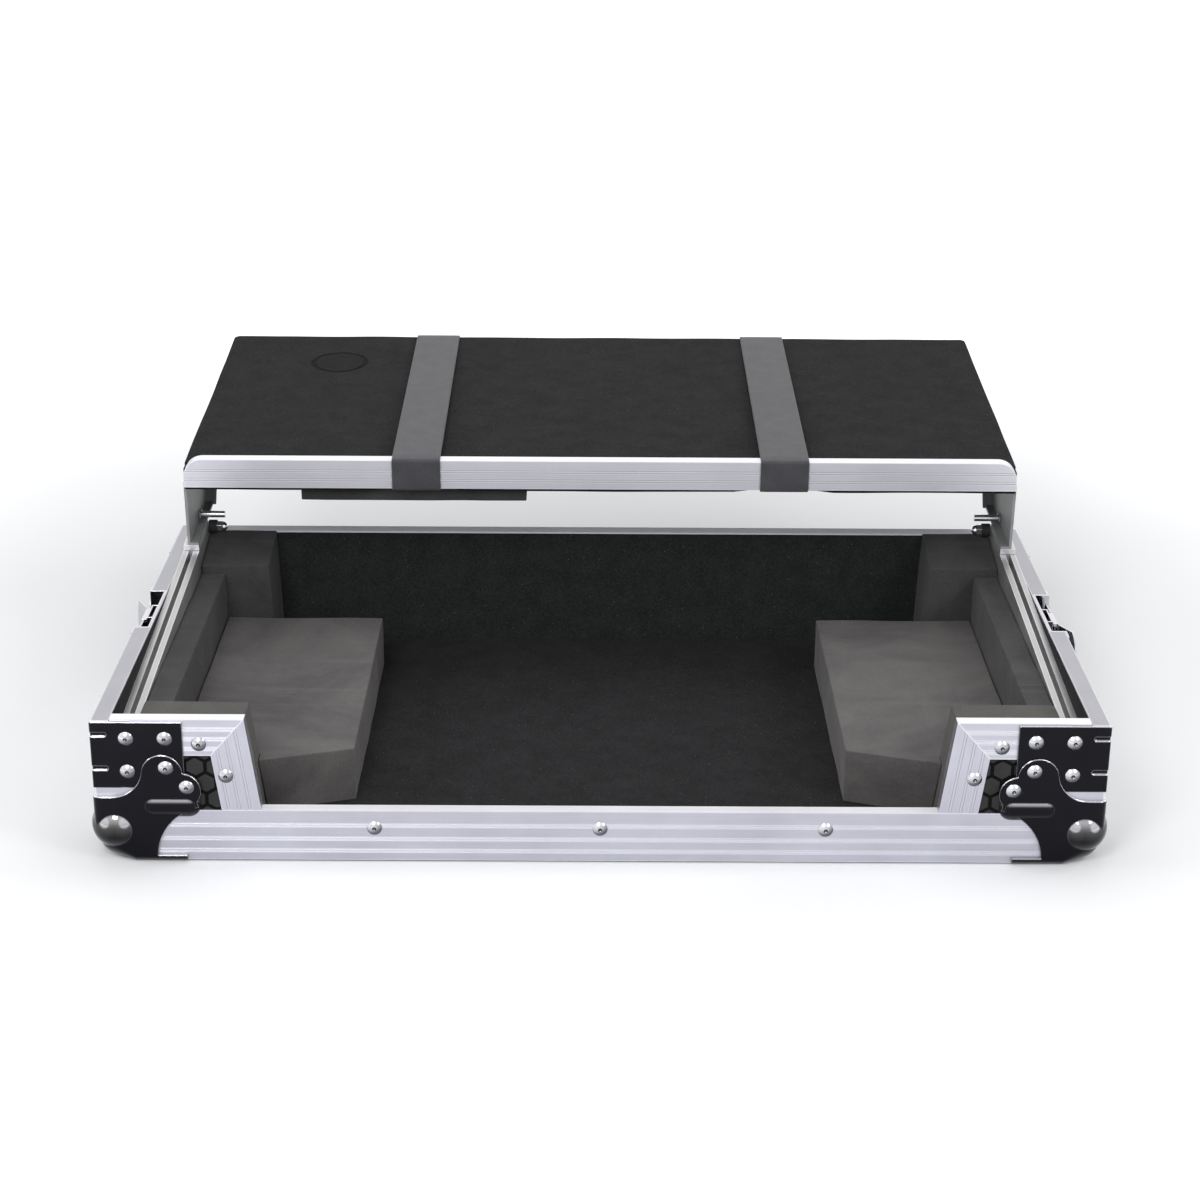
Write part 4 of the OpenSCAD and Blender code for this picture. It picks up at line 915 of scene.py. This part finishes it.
def hexTree():
    # Raised hexagons in rows, points up, left out where a hole or cut goes through the panel
    tree, pin, end, sockets = newTree("hexagonLaminate", [
        ("Columns", "NodeSocketInt"), ("Rows", "NodeSocketInt"), ("Pitch", numberSocket),
        ("Gap", numberSocket), ("Rise", numberSocket), ("Hole Low", vectorSocket),
        ("Hole High", vectorSocket), ("Material", "NodeSocketMaterial"),
    ])
    total = calc(tree, "MULTIPLY", pin["Columns"], pin["Rows"])
    line = addNode(tree, "GeometryNodeMeshLine", {"mode": "OFFSET"}, Count=total)
    index = tree.nodes.new("GeometryNodeInputIndex").outputs[0]
    column = calc(tree, "MODULO", index, pin["Columns"])
    row = calc(tree, "FLOOR", calc(tree, "DIVIDE", index, pin["Columns"]))
    odd = calc(tree, "MODULO", row, 2.0)
    across = calc(tree, "MULTIPLY", calc(tree, "MULTIPLY_ADD", odd, 0.5, column), pin["Pitch"])
    up = calc(tree, "MULTIPLY", calc(tree, "MULTIPLY", row, math.sqrt(3) / 2), pin["Pitch"])
    place = addNode(tree, "ShaderNodeCombineXYZ", None, i0=across, i1=up).outputs[0]
    spread = addNode(tree, "GeometryNodeSetPosition", None,
                     Geometry=line.outputs[0], Position=place)
    here, low, high = (split(tree, spot) for spot in (place, pin["Hole Low"], pin["Hole High"]))
    inside = 1.0
    for axis in range(2):
        inside = calc(tree, "MULTIPLY", inside, calc(tree, "GREATER_THAN", here[axis], low[axis]))
        inside = calc(tree, "MULTIPLY", inside, calc(tree, "LESS_THAN", here[axis], high[axis]))
    kept = addNode(tree, "GeometryNodeDeleteGeometry", None, i0=spread.outputs[0], Selection=inside)
    radius = calc(tree, "DIVIDE", calc(tree, "SUBTRACT", pin["Pitch"], pin["Gap"]), math.sqrt(3))
    plate = makeCone(tree, 6, radius, calc(tree, "SUBTRACT", radius, pin["Rise"]), pin["Rise"])
    stampOn(tree, end, kept.outputs[0], plate, (0, 0, math.radians(30)), pin["Material"])
    return tree, sockets


laminate = {"pitch": 0.013, "gap": 0.0022, "rise": 0.0002}
tray = {"halfWidth": 0.320, "depth": 0.365, "trim": 0.00125}
sidePanel = {
    "start": 0.054, "end": 0.309, "latch": 0.191, "halfHole": 0.041, "foot": 0.005, "top": 0.2,
}
hexNodes, hexSockets = hexTree()


def hexPanel(name, size, corner, right, hole=((1, 1, 0), (0, 0, 0))):
    # From the panel's lower left corner, seen from outside; the hole in the panel's own axes
    columns = int(size[0] / laminate["pitch"])
    rows = int(size[1] / (laminate["pitch"] * math.sqrt(3) / 2)) + 1
    right, up = Vector(right), Vector((0, 0, 1))
    turn = Matrix((right, up, right.cross(up))).transposed()
    values = {
        "Columns": columns, "Rows": rows, "Pitch": laminate["pitch"], "Gap": laminate["gap"],
        "Rise": laminate["rise"], "Hole Low": hole[0], "Hole High": hole[1],
        "Material": finishes["hex"],
    }
    seed = bpy.data.meshes.new(name + "Seed")
    matrix = toTray @ Matrix.Translation(corner) @ turn.to_4x4()
    runTree(name, hexNodes, hexSockets, values, seed, matrix, "base")


def latchHole(middle):
    half = sidePanel["halfHole"]
    return (middle - half, sidePanel["foot"], 0), (middle + half, sidePanel["top"], 0)


frontSize, sideSize = (0.067, 0.046), (0.262, 0.042)
face = tray["halfWidth"] - tray["trim"]
hexPanel("frontHexLeft", frontSize, (-0.302, tray["trim"], 0.031), (1, 0, 0))
hexPanel("frontHexRight", frontSize, (0.235, tray["trim"], 0.031), (1, 0, 0))
hexPanel("backHex", (0.560, 0.042), (0.276, tray["depth"] - tray["trim"], 0.033), (-1, 0, 0))
hexPanel("leftHex", sideSize, (-face, sidePanel["end"], 0.033), (0, -1, 0),
         latchHole(sidePanel["end"] - sidePanel["latch"]))
hexPanel("rightHex", sideSize, (face, sidePanel["start"], 0.033), (0, 1, 0),
         latchHole(sidePanel["latch"] - sidePanel["start"]))


def pinTree():
    # A broken mandrel in the pit of each rivet
    tree, pin, end, sockets = newTree("mandrelPins", [
        ("Radius", numberSocket), ("Depth", numberSocket), ("Material", "NodeSocketMaterial"),
    ])
    tip = calc(tree, "MULTIPLY", pin["Radius"], 0.7)
    peg = makeCone(tree, 12, pin["Radius"], tip, pin["Depth"])
    out = addNode(tree, "GeometryNodeInputNamedAttribute", {"data_type": "FLOAT_VECTOR"},
                  Name="out")
    turn = addNode(tree, "FunctionNodeAlignRotationToVector", {"axis": "Z"}, Vector=out.outputs[0])
    stampOn(tree, end, pin["Geometry"], peg, turn.outputs[0], pin["Material"])
    return tree, sockets


def looseParts(bm):
    left = set(bm.verts)
    while left:
        part, edge = [], [left.pop()]
        while edge:
            vertex = edge.pop()
            part.append(vertex)
            for link in vertex.link_edges:
                other = link.other_vert(vertex)
                if other in left:
                    left.remove(other)
                    edge.append(other)
        yield part


def rivetPlaces():
    # Each rivet is a loose part; its flat back gives the place and its dome the direction
    bm = bmesh.new()
    bm.from_mesh(nodes["rivets"].data)
    bmesh.ops.remove_doubles(bm, verts=bm.verts[:], dist=1e-6)
    found = []
    for part in looseParts(bm):
        faces = {face for vertex in part for face in vertex.link_faces}
        biggest = max(faces, key=lambda face: face.calc_area())
        back = [face for face in faces if face.normal.dot(biggest.normal) > 0.999]
        area = sum(face.calc_area() for face in back)
        moments = (face.calc_center_median() * face.calc_area() for face in back)
        middle = sum(moments, Vector()) / area
        found.append((middle, -back[0].normal.copy()))
    bm.free()
    return found


mandrel = {"radius": 0.0007, "depth": 0.0009, "seat": 0.0010}
pinNodes, pinSockets = pinTree()
seeds = bpy.data.meshes.new("rivetPinsSeed")
places = rivetPlaces()
seeds.from_pydata([middle + out * mandrel["seat"] for middle, out in places], [], [])
outward = seeds.attributes.new("out", "FLOAT_VECTOR", "POINT")
outward.data.foreach_set("vector", [part for _, out in places for part in out])
pinValues = {"Radius": mandrel["radius"], "Depth": mandrel["depth"], "Material": finishes["pin"]}
runTree("rivetPins", pinNodes, pinSockets, pinValues, seeds, Matrix(), "base")
print("rivet pins:", len(places))
